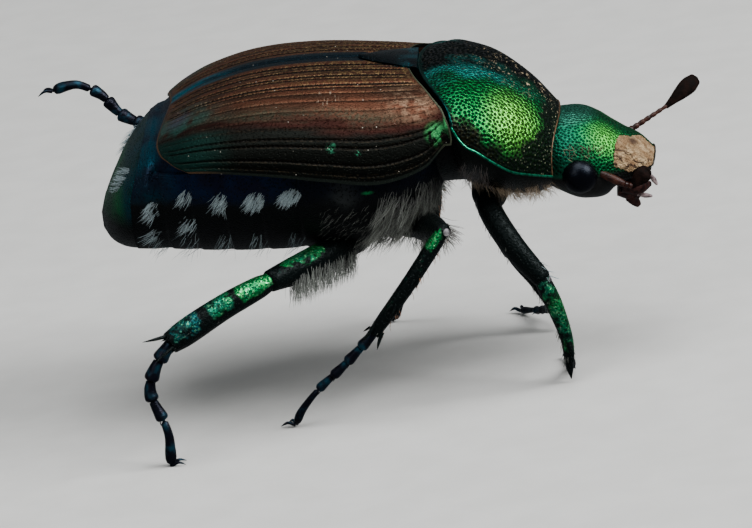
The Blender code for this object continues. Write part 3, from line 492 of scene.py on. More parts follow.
class Field:
    """A value in a look's node tree. Arithmetic on it, and its methods, add nodes."""

    def __init__(self, look, socket):
        self.look = look
        self.socket = socket

    def __add__(self, other):
        return self.look.math("ADD", self, other)

    def __sub__(self, other):
        return self.look.math("SUBTRACT", self, other)

    def __rsub__(self, other):
        return self.look.math("SUBTRACT", other, self)

    def __mul__(self, other):
        return self.look.math("MULTIPLY", self, other)

    def __or__(self, other):
        """The larger of the two."""
        return self.look.math("MAXIMUM", self, other)

    def __abs__(self):
        return self.look.math("ABSOLUTE", self)

    def clamped(self):
        self.socket.node.use_clamp = True
        return self

    def split(self):
        made = self.look.node("ShaderNodeSeparateXYZ", {0: self}).socket.node
        return [Field(self.look, socket) for socket in made.outputs]

    def folded(self):
        """The vector with its left and right halves laid over each other."""
        x, y, z = self.split()
        return self.look.node("ShaderNodeCombineXYZ", {0: x, 1: abs(y), 2: z})

    def stretch(self, *scale):
        return self.look.node("ShaderNodeVectorMath", {0: self, 1: scale}, operation="MULTIPLY")

    def step(self, low, high, start=0.0, end=1.0):
        """Smooth rise from start to end as the value goes from low to high."""
        if low > high:
            low, high, start, end = high, low, end, start
        given = dict(enumerate((self, low, high, start, end)))
        return self.look.node("ShaderNodeMapRange", given, interpolation_type="SMOOTHSTEP")

    def near(self, centre, radius, soft=1.0):
        """1 at a centre and 0 past a radius from it."""
        away = self.look.node("ShaderNodeVectorMath", {0: self, 1: centre}, "Value", operation="DISTANCE")
        return away.step(radius, radius * (1 - soft))

    def noise(self, scale, detail=3.0):
        return self.look.node("ShaderNodeTexNoise", {"Vector": self, "Scale": scale, "Detail": detail})

    def cells(self, scale, randomness=1.0):
        given = {"Vector": self, "Scale": scale, "Randomness": randomness}
        return self.look.node("ShaderNodeTexVoronoi", given, "Distance")


class Look:
    """A material whose colour is painted layer by layer."""

    def __init__(self, name, metallic, roughness, specular=0.5):
        self.made = bpy.data.materials.new(name)
        self.made.use_nodes = True
        self.tree = self.made.node_tree
        self.colour = None
        self.set("Metallic", metallic)
        self.set("Roughness", roughness)
        self.set("Specular IOR Level", specular)

    def put(self, socket, value):
        """Links a socket to a field, or sets it where the value is plain."""
        if isinstance(value, Field):
            self.tree.links.new(value.socket, socket)
        elif isinstance(value, tuple) and len(socket.default_value) == 4:
            socket.default_value = (*value, 1.0)
        else:
            socket.default_value = value

    def set(self, name, value):
        self.put(self.tree.nodes["Principled BSDF"].inputs[name], value)

    def node(self, kind, given, out=0, **settings):
        """Adds a node, with values given by the number or name of an input, and returns one output."""
        made = self.tree.nodes.new(kind)
        for key, value in settings.items():
            setattr(made, key, value)
        for key, value in given.items():
            self.put(made.inputs[key], value)
        return Field(self, made.outputs[out])

    def attribute(self, name):
        return self.node("ShaderNodeAttribute", {}, "Vector", attribute_name=name)

    def math(self, operation, *values):
        return self.node("ShaderNodeMath", dict(enumerate(values)), operation=operation)

    def mix(self, share, a, b):
        return self.node("ShaderNodeMix", {0: share, 6: a, 7: b}, 2, data_type="RGBA")

    def paint(self, share, colour):
        self.colour = self.mix(share, self.colour, colour)

    def bump(self, height, depth, below=None):
        """Bump whose full height is depth, in millimetres."""
        given = {"Distance": depth * MM, "Height": height}
        if below:
            given["Normal"] = below
        return self.node("ShaderNodeBump", given)

    def finish(self, roughness=None, metallic=None, normal=None):
        self.set("Base Color", self.colour)
        for name, value in (("Roughness", roughness), ("Metallic", metallic), ("Normal", normal)):
            if value:
                self.set(name, value)
        return self.made


def pronotum_look():
    """lay is the share along, the share round from the left side over the top, and depth in a pit."""
    look = Look("punctured_green", 1.0, 0.3, 0.15)
    spot = look.attribute("spot")
    folded = spot.folded()
    x, _, z = spot.split()
    along, around, pit = look.attribute("lay").split()
    from_top = abs(around - 0.225) + spot.noise(1.3).step(0.3, 0.7, -0.022, 0.022)
    # Painted highlight: a broad yellow-green pool of light on each side, over a darker green.
    painted_highlight = folded.near((2.88, 1.62, 1.32), 0.98)
    look.colour = look.mix(painted_highlight * 0.95, (0.005, 0.23, 0.050), (0.26, 1.0, 0.110))
    # Painted shade: darker green towards the rear.
    look.paint(x.step(2.15, 1.35, 0.0, 0.65), (0.004, 0.13, 0.060))
    # Painted teal highlight in a band on each side of the top, strongest towards the rear.
    look.paint(from_top.step(0.114, 0.070) * x.step(3.1, 2.3, 0.15, 0.9), (0.014, 0.68, 0.600))
    # Painted dark reflection: near black along the middle of the top.
    look.paint(from_top.step(0.072, 0.034), (0.002, 0.006, 0.008))
    # Painted shade: a dark band, bounded by a slant that falls forward and by another that climbs to the
    # front edge.
    dark = (x.step(1.5, 2.9, 1.78, 0.86) - z) | (x.step(2.9, 3.75, 0.30, 1.85) - z) * 0.6
    dark = (dark + spot.noise(3.2, 4.0).step(0.3, 0.7, -0.14, 0.14)).step(-0.16, 0.12) * 0.97
    look.paint(dark, look.mix(x.step(2.2, 2.7), (0.010, 0.004, 0.003), (0.003, 0.005, 0.003)))
    look.paint(along.step(0.042, 0.034, 0.0, 0.9), (0.003, 0.085, 0.060))
    look.paint(folded.near((1.78, 2.21, 1.60), 0.055) * 0.8, (0.035, 0.030, 0.16))
    # Painted glints: pale specks over the dark band, more towards the front.
    painted_glints = spot.cells(15.0).step(0.26, 0.14) * dark * spot.noise(3.0).step(0.36, 0.50)
    look.paint(painted_glints * x.step(2.4, 2.9, 0.2, 0.9), (0.42, 0.46, 0.28))
    # Painted shade: near black over the lower half, under the side edge.
    look.paint(around.step(0.497, 0.503) * around.step(1.001, 0.999), (0.006, 0.008, 0.007))
    # Painted shade in the pits.
    open_pit = pit.step(0.04, 0.42)
    look.paint(open_pit * 0.93, (0.002, 0.005, 0.004))
    # Pale grit lies over the top, thickest towards the front.
    fleck = spot.cells(16.0).step(0.22, 0.12) * spot.noise(4.0).step(0.42, 0.54) * x.step(1.5, 2.7, 0.30, 1.0)
    clump = spot.noise(10.0, 6.0).step(0.615, 0.65) * x.step(2.1, 2.9) * spot.noise(2.2).step(0.44, 0.56)
    grit = (fleck | clump) * from_top.step(0.110, 0.070)
    look.paint(grit, DUST)
    fine = spot.noise(60.0)
    rough = open_pit * 0.3 + fine.step(0.2, 0.8, 0.18, 0.30)
    return look.finish(rough, 1.0 - (grit | dark * 0.35), look.bump(fine, 0.008))


def head_look():
    """The third number of lay is the depth in a pit."""
    look = Look("granular_green", 1.0, 0.32, 0.2)
    spot = look.attribute("spot")
    folded = spot.folded()
    x, _, z = spot.split()
    # Painted highlight: a bright green pool of light over the front of the head.
    bright = folded.near((4.60, 0.62, 0.50), 0.62)
    look.colour = look.mix(bright * 0.9, (0.006, 0.17, 0.055), (0.10, 0.55, 0.065))
    # Painted shade: darker teal towards the back of the head.
    look.paint(x.step(4.20, 3.80, 0.0, 0.7), (0.012, 0.17, 0.110))
    # Painted highlight: paler teal along the top of the head.
    look.paint(z.step(0.80, 0.98, 0.0, 0.7), (0.070, 0.36, 0.260))
    brow = folded.near((4.06, 1.06, 0.36), 0.40, 0.8) * spot.noise(7.0).step(0.3, 0.55)
    look.paint(brow * 0.5, (0.012, 0.040, 0.016))
    # Painted shade: near black on the underside of the head.
    below = z.step(0.02, -0.12)
    look.paint(below, (0.008, 0.008, 0.008))
    scratch = spot.near((4.44, -0.62, 0.67), 0.055) | spot.near((4.52, -0.68, 0.57), 0.05)
    look.paint(scratch * 0.9, (0.004, 0.006, 0.005))
    # Painted shade in the pits.
    open_pit = look.attribute("lay").split()[2].step(0.05, 0.65)
    look.paint(open_pit * 0.85, (0.002, 0.008, 0.005))
    fine = spot.noise(60.0)
    rough = open_pit * 0.25 + fine.step(0.2, 0.8, 0.24, 0.38)
    relief = look.bump(fine, 0.010, look.bump(scratch, -0.02))
    return look.finish(rough, 1.0 - (below * 0.7 | brow * 0.3), relief)


def elytra_look():
    """lay is the share from the suture to the margin, closeness to a stria, and depth in a puncture."""
    look = Look("copper_wing_case", 0.85, 0.4, 0.3)
    spot = look.attribute("spot")
    folded = spot.folded()
    x, _, z = spot.split()
    across, stria, dot = look.attribute("lay").split()
    streaks = spot.stretch(0.30, 1.6, 1.6).noise(2.6, 4.0)
    speckle = spot.noise(16.0, 5.0)
    look.colour = look.mix(streaks.step(0.32, 0.68), (0.052, 0.024, 0.014), (0.120, 0.044, 0.024))
    # Painted sheen: olive speckles that lighten the top of each wing case, more towards the front.
    olive = speckle.step(0.47, 0.60) * across.step(0.36, 0.16) * x.step(-3.2, 0.2)
    look.paint(olive * 0.7, (0.24, 0.155, 0.060))
    # Painted sheen: a paler pinkish-tan mottled patch over the front of the top of each wing case.
    painted_front_sheen = folded.near((0.95, 1.85, 2.0), 0.85) * spot.noise(7.0, 5.0).step(0.40, 0.62)
    look.paint(painted_front_sheen * 0.75, (0.26, 0.17, 0.11))
    rear = folded.near((-3.90, 2.05, 1.40), 1.7) * spot.noise(3.4).step(0.30, 0.56)
    look.paint(rear * 0.9, (0.032, 0.20, 0.165))
    # Painted violet sheen near the rear of each wing case.
    painted_violet_sheen = folded.near((-3.72, 1.45, 1.80), 0.45)
    look.paint(painted_violet_sheen * 0.5, (0.12, 0.06, 0.14))
    # Painted shade on the lower side of each wing case, reaching higher towards the rear: dark green speckle,
    # then dark red, then near black.
    falling = across + x.step(-2.5, 1.2, 0.06, -0.05) + streaks.step(0.3, 0.7, -0.035, 0.035)
    green = falling.step(0.44, 0.56) * speckle.step(0.40, 0.58, 0.35, 0.9) * x.step(1.1, 0.2)
    look.paint(green * 0.75, (0.016, 0.040, 0.026))
    look.paint(falling.step(0.52, 0.63), (0.024, 0.006, 0.004))
    look.paint(falling.step(0.60, 0.72), (0.0045, 0.0055, 0.0042))
    look.paint(across.step(0.52, 0.64) * x.step(-2.4, -3.5) * 0.75, (0.009, 0.050, 0.040))
    # Painted green sheen on the shoulder and on the front edge beside it.
    patchy = spot.stretch(1.0, 0.6, 0.6).noise(6.0)
    painted_shoulder_sheen = folded.near((1.36, 2.30, 1.42), 0.30, 0.9) * patchy.step(0.40, 0.54)
    edge = folded.near((1.60, 2.20, 1.60), 0.24) * x.step(1.50, 1.56)
    look.paint(painted_shoulder_sheen | edge, (0.060, 0.46, 0.14))
    flecks = folded.near((-0.66, 2.78, 1.44), 0.14) | folded.near((-0.15, 2.78, 1.30), 0.08)
    look.paint(flecks * speckle.step(0.45, 0.58), (0.05, 0.42, 0.22))
    # Painted shade in the rows of punctures, strongest near the suture.
    look.paint(stria.step(0.20, 0.60) * across.step(0.60, 0.36, 0.5, 0.97), (0.006, 0.004, 0.003))
    # Painted highlight along both flanks of each row, on the upper part of the wing case.
    painted_stria_highlight = stria.step(0.06, 0.22) * stria.step(0.46, 0.28) * speckle.step(0.42, 0.58)
    look.paint(painted_stria_highlight * across.step(0.40, 0.26, 0.08, 0.55), (0.23, 0.15, 0.075))
    marks = spot.stretch(14.0, 1.6, 1.6).noise(2.0, 2.0).step(0.60, 0.66)
    look.paint(marks * folded.near((-0.75, 1.90, 2.14), 0.34, 0.6) * 0.8, (0.42, 0.33, 0.24))
    # Painted shade in the punctures.
    look.paint(dot.step(0.3, 0.7) * 0.8, (0.006, 0.006, 0.005))
    suture = across.step(0.040, 0.030) | across.step(0.11, 0.08) * x.step(0.1, 0.9)
    blue = look.mix(x.step(-2.4, -3.6), (0.003, 0.016, 0.026), (0.006, 0.13, 0.19))
    broken = spot.stretch(0.4, 3.0, 1.0).noise(3.0)
    look.paint(suture, look.mix(broken.step(0.45, 0.65), blue, (0.006, 0.014, 0.022)))
    rim = across.step(0.982, 0.990)
    rim_hue = look.mix(x.step(-2.6, -3.6), (0.010, 0.016, 0.012), (0.10, 0.048, 0.022))
    look.paint(rim, look.mix(x.step(0.6, 1.0) * z.step(1.0, 1.3), rim_hue, (0.060, 0.070, 0.040)))
    speck = spot.cells(6.0).step(0.060, 0.040) * spot.noise(0.9).step(0.44, 0.54)
    look.paint(speck, (0.72, 0.68, 0.58))
    fine = spot.stretch(0.5, 1.0, 1.0).noise(42.0, 4.0)
    pores = spot.cells(17.0).step(0.34, 0.18)
    rough = suture * -0.10 + fine.step(0.2, 0.8, 0.34, 0.50)
    metallic = (0.85 - (speck | rim * 0.5)).clamped()
    return look.finish(rough, metallic, look.bump(fine, 0.012, look.bump(pores, -0.010)))


def scutellum_look():
    look = Look("scutellum_blue", 0.9, 0.3)
    spot = look.attribute("spot")
    pit = spot.cells(11.0, 0.9).step(0.34, 0.18)
    # Painted teal highlight towards the front, broken by noise.
    bright = spot.split()[0].step(0.55, 0.95) * spot.noise(2.6).step(0.38, 0.58)
    look.colour = look.mix(bright, (0.002, 0.008, 0.013), (0.008, 0.10, 0.13))
    # Painted shade in the pits.
    look.paint(pit * 0.8, (0.006, 0.010, 0.009))
    relief = look.bump(spot.noise(40.0), 0.006, look.bump(pit, -0.03))
    return look.finish(pit.step(0.0, 1.0, 0.28, 0.5), None, relief)


def abdomen_look():
    look = Look("punctate_navy", 0.75, 0.42, 0.12)
    spot = look.attribute("spot")
    folded = spot.folded()
    x, _, z = spot.split()
    grain = spot.stretch(1.4, 1.0, 0.8).cells(17.0).step(0.42, 0.22)
    wide = spot.noise(1.6, 4.0)
    look.colour = look.mix(x.step(-3.6, -4.5), (0.006, 0.017, 0.050), (0.006, 0.055, 0.085))
    look.paint(wide.step(0.42, 0.62, 0.0, 0.8), (0.010, 0.010, 0.024))
    # Painted shade: near black towards the front of the trunk.
    look.paint(x.step(-2.3, -1.2, 0.0, 0.8), (0.006, 0.007, 0.010))
    # Painted shade: near black on the lower part, with a noisy edge.
    lower = (z + wide * 0.5).step(0.85, 0.45)
    look.paint(lower, (0.005, 0.006, 0.007))
    sheen = folded.near((-0.55, 2.62, 0.42), 0.50) * wide.step(0.35, 0.6)
    look.paint(sheen * 0.5, (0.060, 0.068, 0.068))
    # Painted green glint high on each flank.
    look.paint(folded.stretch(0.6, 1.0, 1.8).near((-0.036, 2.58, 0.75), 0.10), (0.008, 0.26, 0.075))
    look.paint(grain * 0.55, (0.003, 0.004, 0.004))
    relief = look.bump(spot.noise(30.0), 0.010, look.bump(grain, -0.018))
    rough = grain.step(0.0, 1.0, 0.40, 0.55) + lower * 0.08
    return look.finish(rough, lower.step(0.0, 1.0, 0.75, 0.5), relief)


def tail_look():
    look = Look("granular_teal", 0.85, 0.38, 0.3)
    spot = look.attribute("spot")
    x, _, z = spot.split()
    grain = spot.stretch(1.0, 0.7, 1.4).cells(18.0).step(0.44, 0.24)
    wide = spot.noise(1.8, 4.0)
    look.colour = look.mix(x.step(-4.80, -5.05), (0.006, 0.060, 0.080), (0.005, 0.15, 0.050))
    look.paint(wide.step(0.42, 0.62, 0.0, 0.7), (0.004, 0.040, 0.026))
    # Painted shade: near black on the lower part, with a noisy edge.
    look.paint((z + wide * 0.3).step(0.30, -0.20), (0.005, 0.006, 0.006))
    look.paint(grain * 0.6, (0.003, 0.007, 0.006))
    relief = look.bump(spot.noise(35.0), 0.008, look.bump(grain, -0.02))
    return look.finish(grain.step(0.0, 1.0, 0.34, 0.52), None, relief)


def black_look():
    look = Look("black_plate", 0.5, 0.42, 0.25)
    spot = look.attribute("spot")
    wide = spot.noise(1.8)
    look.colour = look.mix(wide.step(0.4, 0.7), (0.005, 0.006, 0.006), (0.008, 0.014, 0.013))
    grain = spot.cells(13.0).step(0.40, 0.22)
    relief = look.bump(spot.noise(28.0), 0.012, look.bump(grain, -0.02))
    return look.finish(wide.step(0.3, 0.7, 0.36, 0.5), None, relief)


def leg_look():
    """lay ends in the hue of that stretch of the leg, from green to teal, and how strongly its painted
    highlight shines.
    """
    look = Look("green_black_leg", 0.9, 0.32, 0.14)
    spot = look.attribute("spot")
    _, hue, shine = look.attribute("lay").split()
    shine = (shine * 1.2 + spot.noise(6.0, 5.0).step(0.3, 0.7, -0.60, 0.08)).clamped()
    hue = (hue + spot.noise(2.5).step(0.35, 0.65, -0.25, 0.25)).clamped()
    # Painted highlight: green to teal where a band shines, near black elsewhere.
    bright = look.mix(hue, (0.008, 0.30, 0.070), (0.005, 0.14, 0.15))
    look.colour = look.mix(shine.step(0.12, 0.75), (0.003, 0.006, 0.006), bright)
    sparkle = spot.noise(20.0).step(0.54, 0.64) * shine.step(0.25, 0.70)
    look.paint(sparkle * 0.8, (0.24, 0.72, 0.34))
    grain = spot.cells(16.0).step(0.46, 0.28)
    look.paint(grain * 0.6, (0.002, 0.006, 0.005))
    relief = look.bump(spot.noise(26.0), 0.016, look.bump(grain, -0.018))
    rough = grain.step(0.0, 1.0, 0.28, 0.5) + shine * 0.06
    return look.finish(rough, shine.step(0.0, 1.0, 0.45, 1.0), relief)


def foot_look():
    look = Look("blue_black_foot", 0.7, 0.3, 0.3)
    spot = look.attribute("spot")
    broken = spot.noise(4.0)
    # Painted blue highlights in broken patches over the near black.
    look.colour = look.mix(broken.step(0.48, 0.68), (0.006, 0.007, 0.014), (0.010, 0.050, 0.080))
    return look.finish(broken.step(0.3, 0.7, 0.26, 0.4), None, look.bump(spot.noise(22.0), 0.012))


def eye_look():
    look = Look("eye_facets", 0.0, 0.2, 0.16)
    look.set("Specular Tint", (0.55, 0.72, 1.0))
    look.set("Coat Weight", 0.08)
    look.set("Coat Roughness", 0.18)
    spot = look.attribute("spot")
    facet = spot.cells(42.0, 0.3)
    sheen = spot.folded().near((4.42, 1.60, 0.12), 0.20, 0.9) * spot.noise(6.0).step(0.3, 0.6, 0.6, 1.0)
    look.colour = look.mix(sheen, (0.001, 0.001, 0.002), (0.05, 0.10, 0.12))
    return look.finish(facet.step(0.1, 0.5, 0.16, 0.24), None, look.bump(facet, -0.004))


def crust_look():
    look = Look("dried_crust", 0.0, 0.9, 0.2)
    spot = look.attribute("spot")
    x, _, z = spot.split()
    grain = spot.cells(20.0)
    patch = spot.noise(6.0, 6.0)
    look.colour = look.mix(patch.step(0.36, 0.62), (0.25, 0.15, 0.075), (0.44, 0.31, 0.175))
    look.paint(spot.noise(3.4).step(0.50, 0.66) * 0.6, (0.20, 0.105, 0.050))
    # Cracks run across the patch at a slant.
    leaning = x * 0.55 + z
    bent = leaning + spot.noise(2.6, 4.0).step(0.2, 0.8, -0.16, 0.16)
    ridges = abs(look.math("SINE", bent * 17.0))
    crack = ridges.step(0.62, 0.26) * spot.noise(5.0).step(0.38, 0.50) * leaning.step(3.06, 2.98)
    crack = crack | spot.near((5.13, -0.42, 0.36), 0.17, 0.8)
    look.paint((crack | grain.step(0.55, 0.85, 0.0, 0.4)) * 0.9, (0.050, 0.026, 0.018))
    relief = look.bump(patch, 0.035, look.bump(grain - crack, -0.05))
    return look.finish(patch.step(0.3, 0.7, 0.82, 0.96), None, relief)


def brown_look(name, dark, light, roughness, specular=0.5):
    look = Look(name, 0.0, roughness, specular)
    spot = look.attribute("spot")
    grain = spot.noise(9.0)
    look.colour = look.mix(grain.step(0.35, 0.65), dark, light)
    rough = grain.step(0.3, 0.7, roughness - 0.06, roughness + 0.1)
    return look.finish(rough, None, look.bump(spot.noise(26.0), 0.010))


def bead_look(name, colour, metallic, roughness):
    """A narrow raised rim."""
    look = Look(name, metallic, roughness)
    grain = look.attribute("spot").noise(14.0)
    look.colour = look.mix(grain.step(0.35, 0.6), tuple(c * 0.35 for c in colour), colour)
    return look.finish(normal=look.bump(grain, 0.01))


def hair_look(name, root_colour, tip_colour, spread):
    """lay is the share along the hair, and the hair's own shade."""
    look = Look(name, 0.0, 0.45)
    look.set("Sheen Weight", 0.2)
    along, shade, _ = look.attribute("lay").split()
    look.colour = look.mix(along, root_colour, tip_colour)
    look.paint(shade * spread, tuple(c * 0.3 for c in root_colour))
    return look.finish(shade.step(0.0, 1.0, 0.38, 0.55))


def stria_closeness(v):
    """Strength on a row of punctures, falling to 0 beside it."""
    return max(strength * math.exp(-(((v - s) * ELYTRON_BREADTH / STRIA_HALF_WIDTH) ** 2))
               for s, strength in STRIAE)


def scutellum_half_width(x):
    if x <= SCUTELLUM_TIP:
        return -GAP
    share = min((x - SCUTELLUM_TIP) / (SCUTELLUM_FRONT - SCUTELLUM_TIP), 1.0)
    return SCUTELLUM_HALF_WIDTH * share**0.6


def elytron_point(share, v, thickness, groove):
    """Point on the left elytron, from the base to the apex and from the suture (v 0) to the side."""
    base_x = profile(ELYTRON_BASE, v)
    x = base_x + (profile(ELYTRON_APEX, v) - base_x) * share
    half_width = profile(ELYTRA_HALF_WIDTH, x)
    low, high = profile(MARGIN_HEIGHT, x), profile(SUTURE_HEIGHT, x)
    inner = max(scutellum_half_width(x) + GAP * 0.3, 0.006)
    start = math.asin(min(inner / half_width, 1.0) ** (ELYTRA_SQUARENESS / 2))
    theta = start + (math.pi / 2 - start) * v
    across = math.sin(theta) ** (2 / ELYTRA_SQUARENESS)
    rise = max(math.cos(theta), 0.0) ** (2 / ELYTRA_SQUARENESS)
    dip = thickness + groove
    y = (half_width - dip * across) * across
    z = low + (high - dip - low) * rise
    return Vector((x, max(y, inner), z)), theta / (math.pi / 2)


def grid(rows, columns, first):
    """Squares between the points of a grid, and the points round its edge, the first one again at the end."""
    def index(r, c):
        return first + r * (columns + 1) + c

    squares = [(index(r, c), index(r, c + 1), index(r + 1, c + 1), index(r + 1, c))
               for r in range(rows) for c in range(columns)]
    edge = [index(0, c) for c in range(columns)]
    edge += [index(r, columns) for r in range(rows)]
    edge += [index(rows, c) for c in range(columns, 0, -1)]
    edge += [index(r, 0) for r in range(rows, 0, -1)]
    return squares, edge + edge[:1]


def shell_faces(rows, columns, coarse=1):
    """Faces of a closed shell between two grids, of which the inner has a point at every coarse-th step."""
    faces, edge = grid(rows, columns, 0)
    backs, back_edge = grid(rows // coarse, columns // coarse, (rows + 1) * (columns + 1))
    faces += [tuple(reversed(f)) for f in backs]
    for k in range(len(edge) - 1):
        j = k // coarse
        faces.append((edge[k + 1], edge[k], back_edge[j]))
        if (k + 1) % coarse == 0:
            faces.append((edge[k + 1], back_edge[j], back_edge[j + 1]))
    return faces


def elytron(side, rows=400, columns=200, coarse=8):
    """One wing case: a thin curved plate with rows of punctures, whose inner face has a coarser grid."""
    outer, inner, lay, inner_lay = [], [], [], []
    for r in range(rows + 1):
        share = r / rows
        ends = smooth(share, 0.0, 0.06) * smooth(share, 1.0, 0.95)
        for c in range(columns + 1):
            v = c / columns
            turn = elytron_point(share, v, 0.0, 0.0)[1]
            near = stria_closeness(turn) * ends
            beat = 5.2 * share / PUNCTURE_STEP + 7.3 * round(turn * 11)
            dot = near * smooth(0.5 + 0.5 * math.sin(2 * math.pi * beat), 0.45, 0.95)
            edges = smooth(v, 0.985, 1.0) + smooth(share, 0.99, 1.0) + smooth(v, 0.010, 0.0)
            groove = STRIA_DEPTH * near + PUNCTURE_DEPTH * dot + ELYTRON_EDGE_ROLL * edges
            outer.append(elytron_point(share, v, 0.0, groove)[0])
            lay.append((0.995 if share > 0.994 or share < 0.006 else turn, near, dot))
            if r % coarse == 0 and c % coarse == 0:
                edge = max(smooth(share, 0.72, 1.0), smooth(v, 0.93, 1.0))
                thick = ELYTRON_THICKNESS + (ELYTRON_EDGE_THICKNESS - ELYTRON_THICKNESS) * edge
                inner.append(elytron_point(share, v, thick, 0.0)[0])
                inner_lay.append((v, 0.0, 0.0))
    points = [Vector((p.x, p.y * side, p.z)) for p in outer + inner]
    return Form().add(points, lay + inner_lay, shell_faces(rows, columns, coarse))


def scutellum(rows=40, columns=40):
    rings = []
    for r in range(rows + 1):
        x = SCUTELLUM_FRONT + (SCUTELLUM_TIP + 0.01 - SCUTELLUM_FRONT) * r / rows
        half, high = scutellum_half_width(x), profile(SUTURE_HEIGHT, x)
        upper = [Vector((x, half * s, high + SCUTELLUM_RISE * (1 - s**2)))
                 for s in (1 - 2 * c / columns for c in range(columns + 1))]
        rings.append(upper + [Vector((x, -half, high - 0.3)), Vector((x, half, high - 0.3))])
    return Form().loft(rings)


def turns_of(upper, lower):
    """Angles round a rib, with their own number of steps over the top and under the belly."""
    return [math.pi * k / upper for k in range(upper)] + [math.pi * (1 + k / lower) for k in range(lower)]


def ribbed(ribs, rows, turns, start=None, end=None, upper=2.2, lower=2.1, sweep=1.0):
    rings = []
    for r in range(rows):
        rib = between(ribs, r / (rows - 1))
        rings.append([rib_point(rib, turn, upper, lower, sweep) for turn in turns])
    return Form().loft(rings, start, end, shares=[turn / (2 * math.pi) for turn in turns])


def rib_bead(ribs, places, radius, upper, lower, rows=60, sweep=1.0):
    """Thin round bead through places on a ribbed body, each a share along it and an angle."""
    path = [rib_point(between(ribs, s), a, upper, lower, sweep) for s, a in places]
    return tube(path, rounded(radius, (0.0, 1), (1.0, 1)), Vector((0.3, 0.9, 0.2)), 8, rows)


def covered_ring(x, side_y, belly_z, lower_count, upper_count):
    """Ring of the trunk below the elytra: a full belly, and a back let in under the wing cases."""
    half_width, low, high = (profile(t, x) for t in (ELYTRA_HALF_WIDTH, MARGIN_HEIGHT, SUTURE_HEIGHT))
    behind = smooth(x, -3.0, -4.0)
    thick = ELYTRON_THICKNESS + GAP - (ELYTRON_THICKNESS + GAP - 0.11) * behind
    side_z = low - GAP * 0.4
    inset = min(half_width - thick, side_y - 0.15 + 0.12 * behind)
    ring = []
    for k in range(lower_count + 1):
        rise, across = (power(f(math.pi * k / lower_count), TRUNK_SQUARENESS) for f in (math.sin, math.cos))
        ring.append(Vector((x, -side_y * across, side_z + (belly_z - side_z) * rise)))
    for k in range(upper_count + 1):
        rise, across = (power(f(math.pi * k / upper_count), ELYTRA_SQUARENESS) for f in (math.sin, math.cos))
        ring.append(Vector((x, inset * across, side_z + (high - thick - side_z) * abs(rise))))
    return ring


def full_ring(rib, lower_count, upper_count):
    """Ring with the same number of points as covered_ring, where no wing case covers the back."""
    top_x, top_z, side_x, side_y, side_z, belly_x, belly_z = rib
    turns = [(k / lower_count, belly_x, belly_z, -side_y) for k in range(lower_count + 1)]
    turns += [(0.02 + 0.96 * k / upper_count, top_x, top_z, side_y) for k in range(upper_count + 1)]
    ring = []
    for turn, goal_x, goal_z, y in turns:
        rise, across = (power(f(math.pi * turn), TRUNK_SQUARENESS) for f in (math.sin, math.cos))
        x, z = side_x + (goal_x - side_x) * rise, side_z + (goal_z - side_z) * rise
        ring.append(Vector((x, y * across, z)))
    return ring


def under_body(rows=150, lower_count=90, upper_count=30):
    """Thorax and abdomen below the wing cases, in one skin, each segment stepping under the one before."""
    sides = [(x, y) for x, y, _ in UNDER_BODY]
    bellies = [(x, z) for x, _, z in UNDER_BODY]
    first, last = UNDER_BODY[0][0], UNDER_BODY[-1][0]
    rings = []
    for r in range(rows + 1):
        x = first + (last - first) * r / rows
        dip = max(SEGMENT_STEP * math.exp(-(((line - x) / (0.22 if line > x else 0.02)) ** 2))
                  for line in SEGMENT_LINES)
        belly = profile(bellies, x) + dip * BELLY_STEP_SHARE
        rings.append(covered_ring(x, profile(sides, x) - dip, belly, lower_count, upper_count))
    tail = [full_ring(rib, lower_count, upper_count) for rib in PROPYGIDIUM]
    for k in range(1, 13):
        share = k / 12
        if share < 0.4:
            rings.append([a.lerp(b, share / 0.4) for a, b in zip(rings[rows], tail[0])])
        else:
            rings.append([a.lerp(b, (share - 0.4) / 0.6) for a, b in zip(*tail)])
    return Form().loft(rings)


def crust(rows=120, columns=120):
    """Dried crust over the front of the head, a thin shell that dips under the plate at its ragged edge."""
    outer, inner, lay = [], [], []
    first, last = 0.55, 0.985

    def at(share, angle):
        return rib_point(between(HEAD, share), angle, 2.2, 2.1)

    for r in range(rows + 1):
        share = first + (last - first) * r / rows
        for c in range(columns + 1):
            angle = math.pi * (0.40 + 0.60 * c / columns)
            p = at(share, angle)
            along = at(share + 0.004, angle) - at(share - 0.004, angle)
            out = along.cross(at(share, angle + 0.01) - p).normalized()
            out = out if out.dot(p - Vector((p.x, 0, -0.2))) > 0 else -out
            ragged = noise.noise(p * 6.0) * 0.10 + noise.noise(p * 17.0) * 0.06
            edge = min((p.x - 4.68 - 0.66 * smooth(p.y, -0.9, 0.35)) * 1.2, (0.06 - p.y) * 1.1,
                       (p.z - 0.04 + 0.14 * smooth(p.x, 4.7, 5.0)) * 1.4 + 0.04)
            thick = 0.055 * smooth(edge + ragged, -0.03, 0.07) - 0.035
            thick += 0.014 * noise.noise(p * 22.0) + 0.008 * noise.noise(p * 50.0)
            outer.append(p + out * thick)
            inner.append(p - out * 0.07)
            lay.append((share, c / columns, 0.0))
    return Form().add(outer + inner, lay + lay, shell_faces(rows, columns))


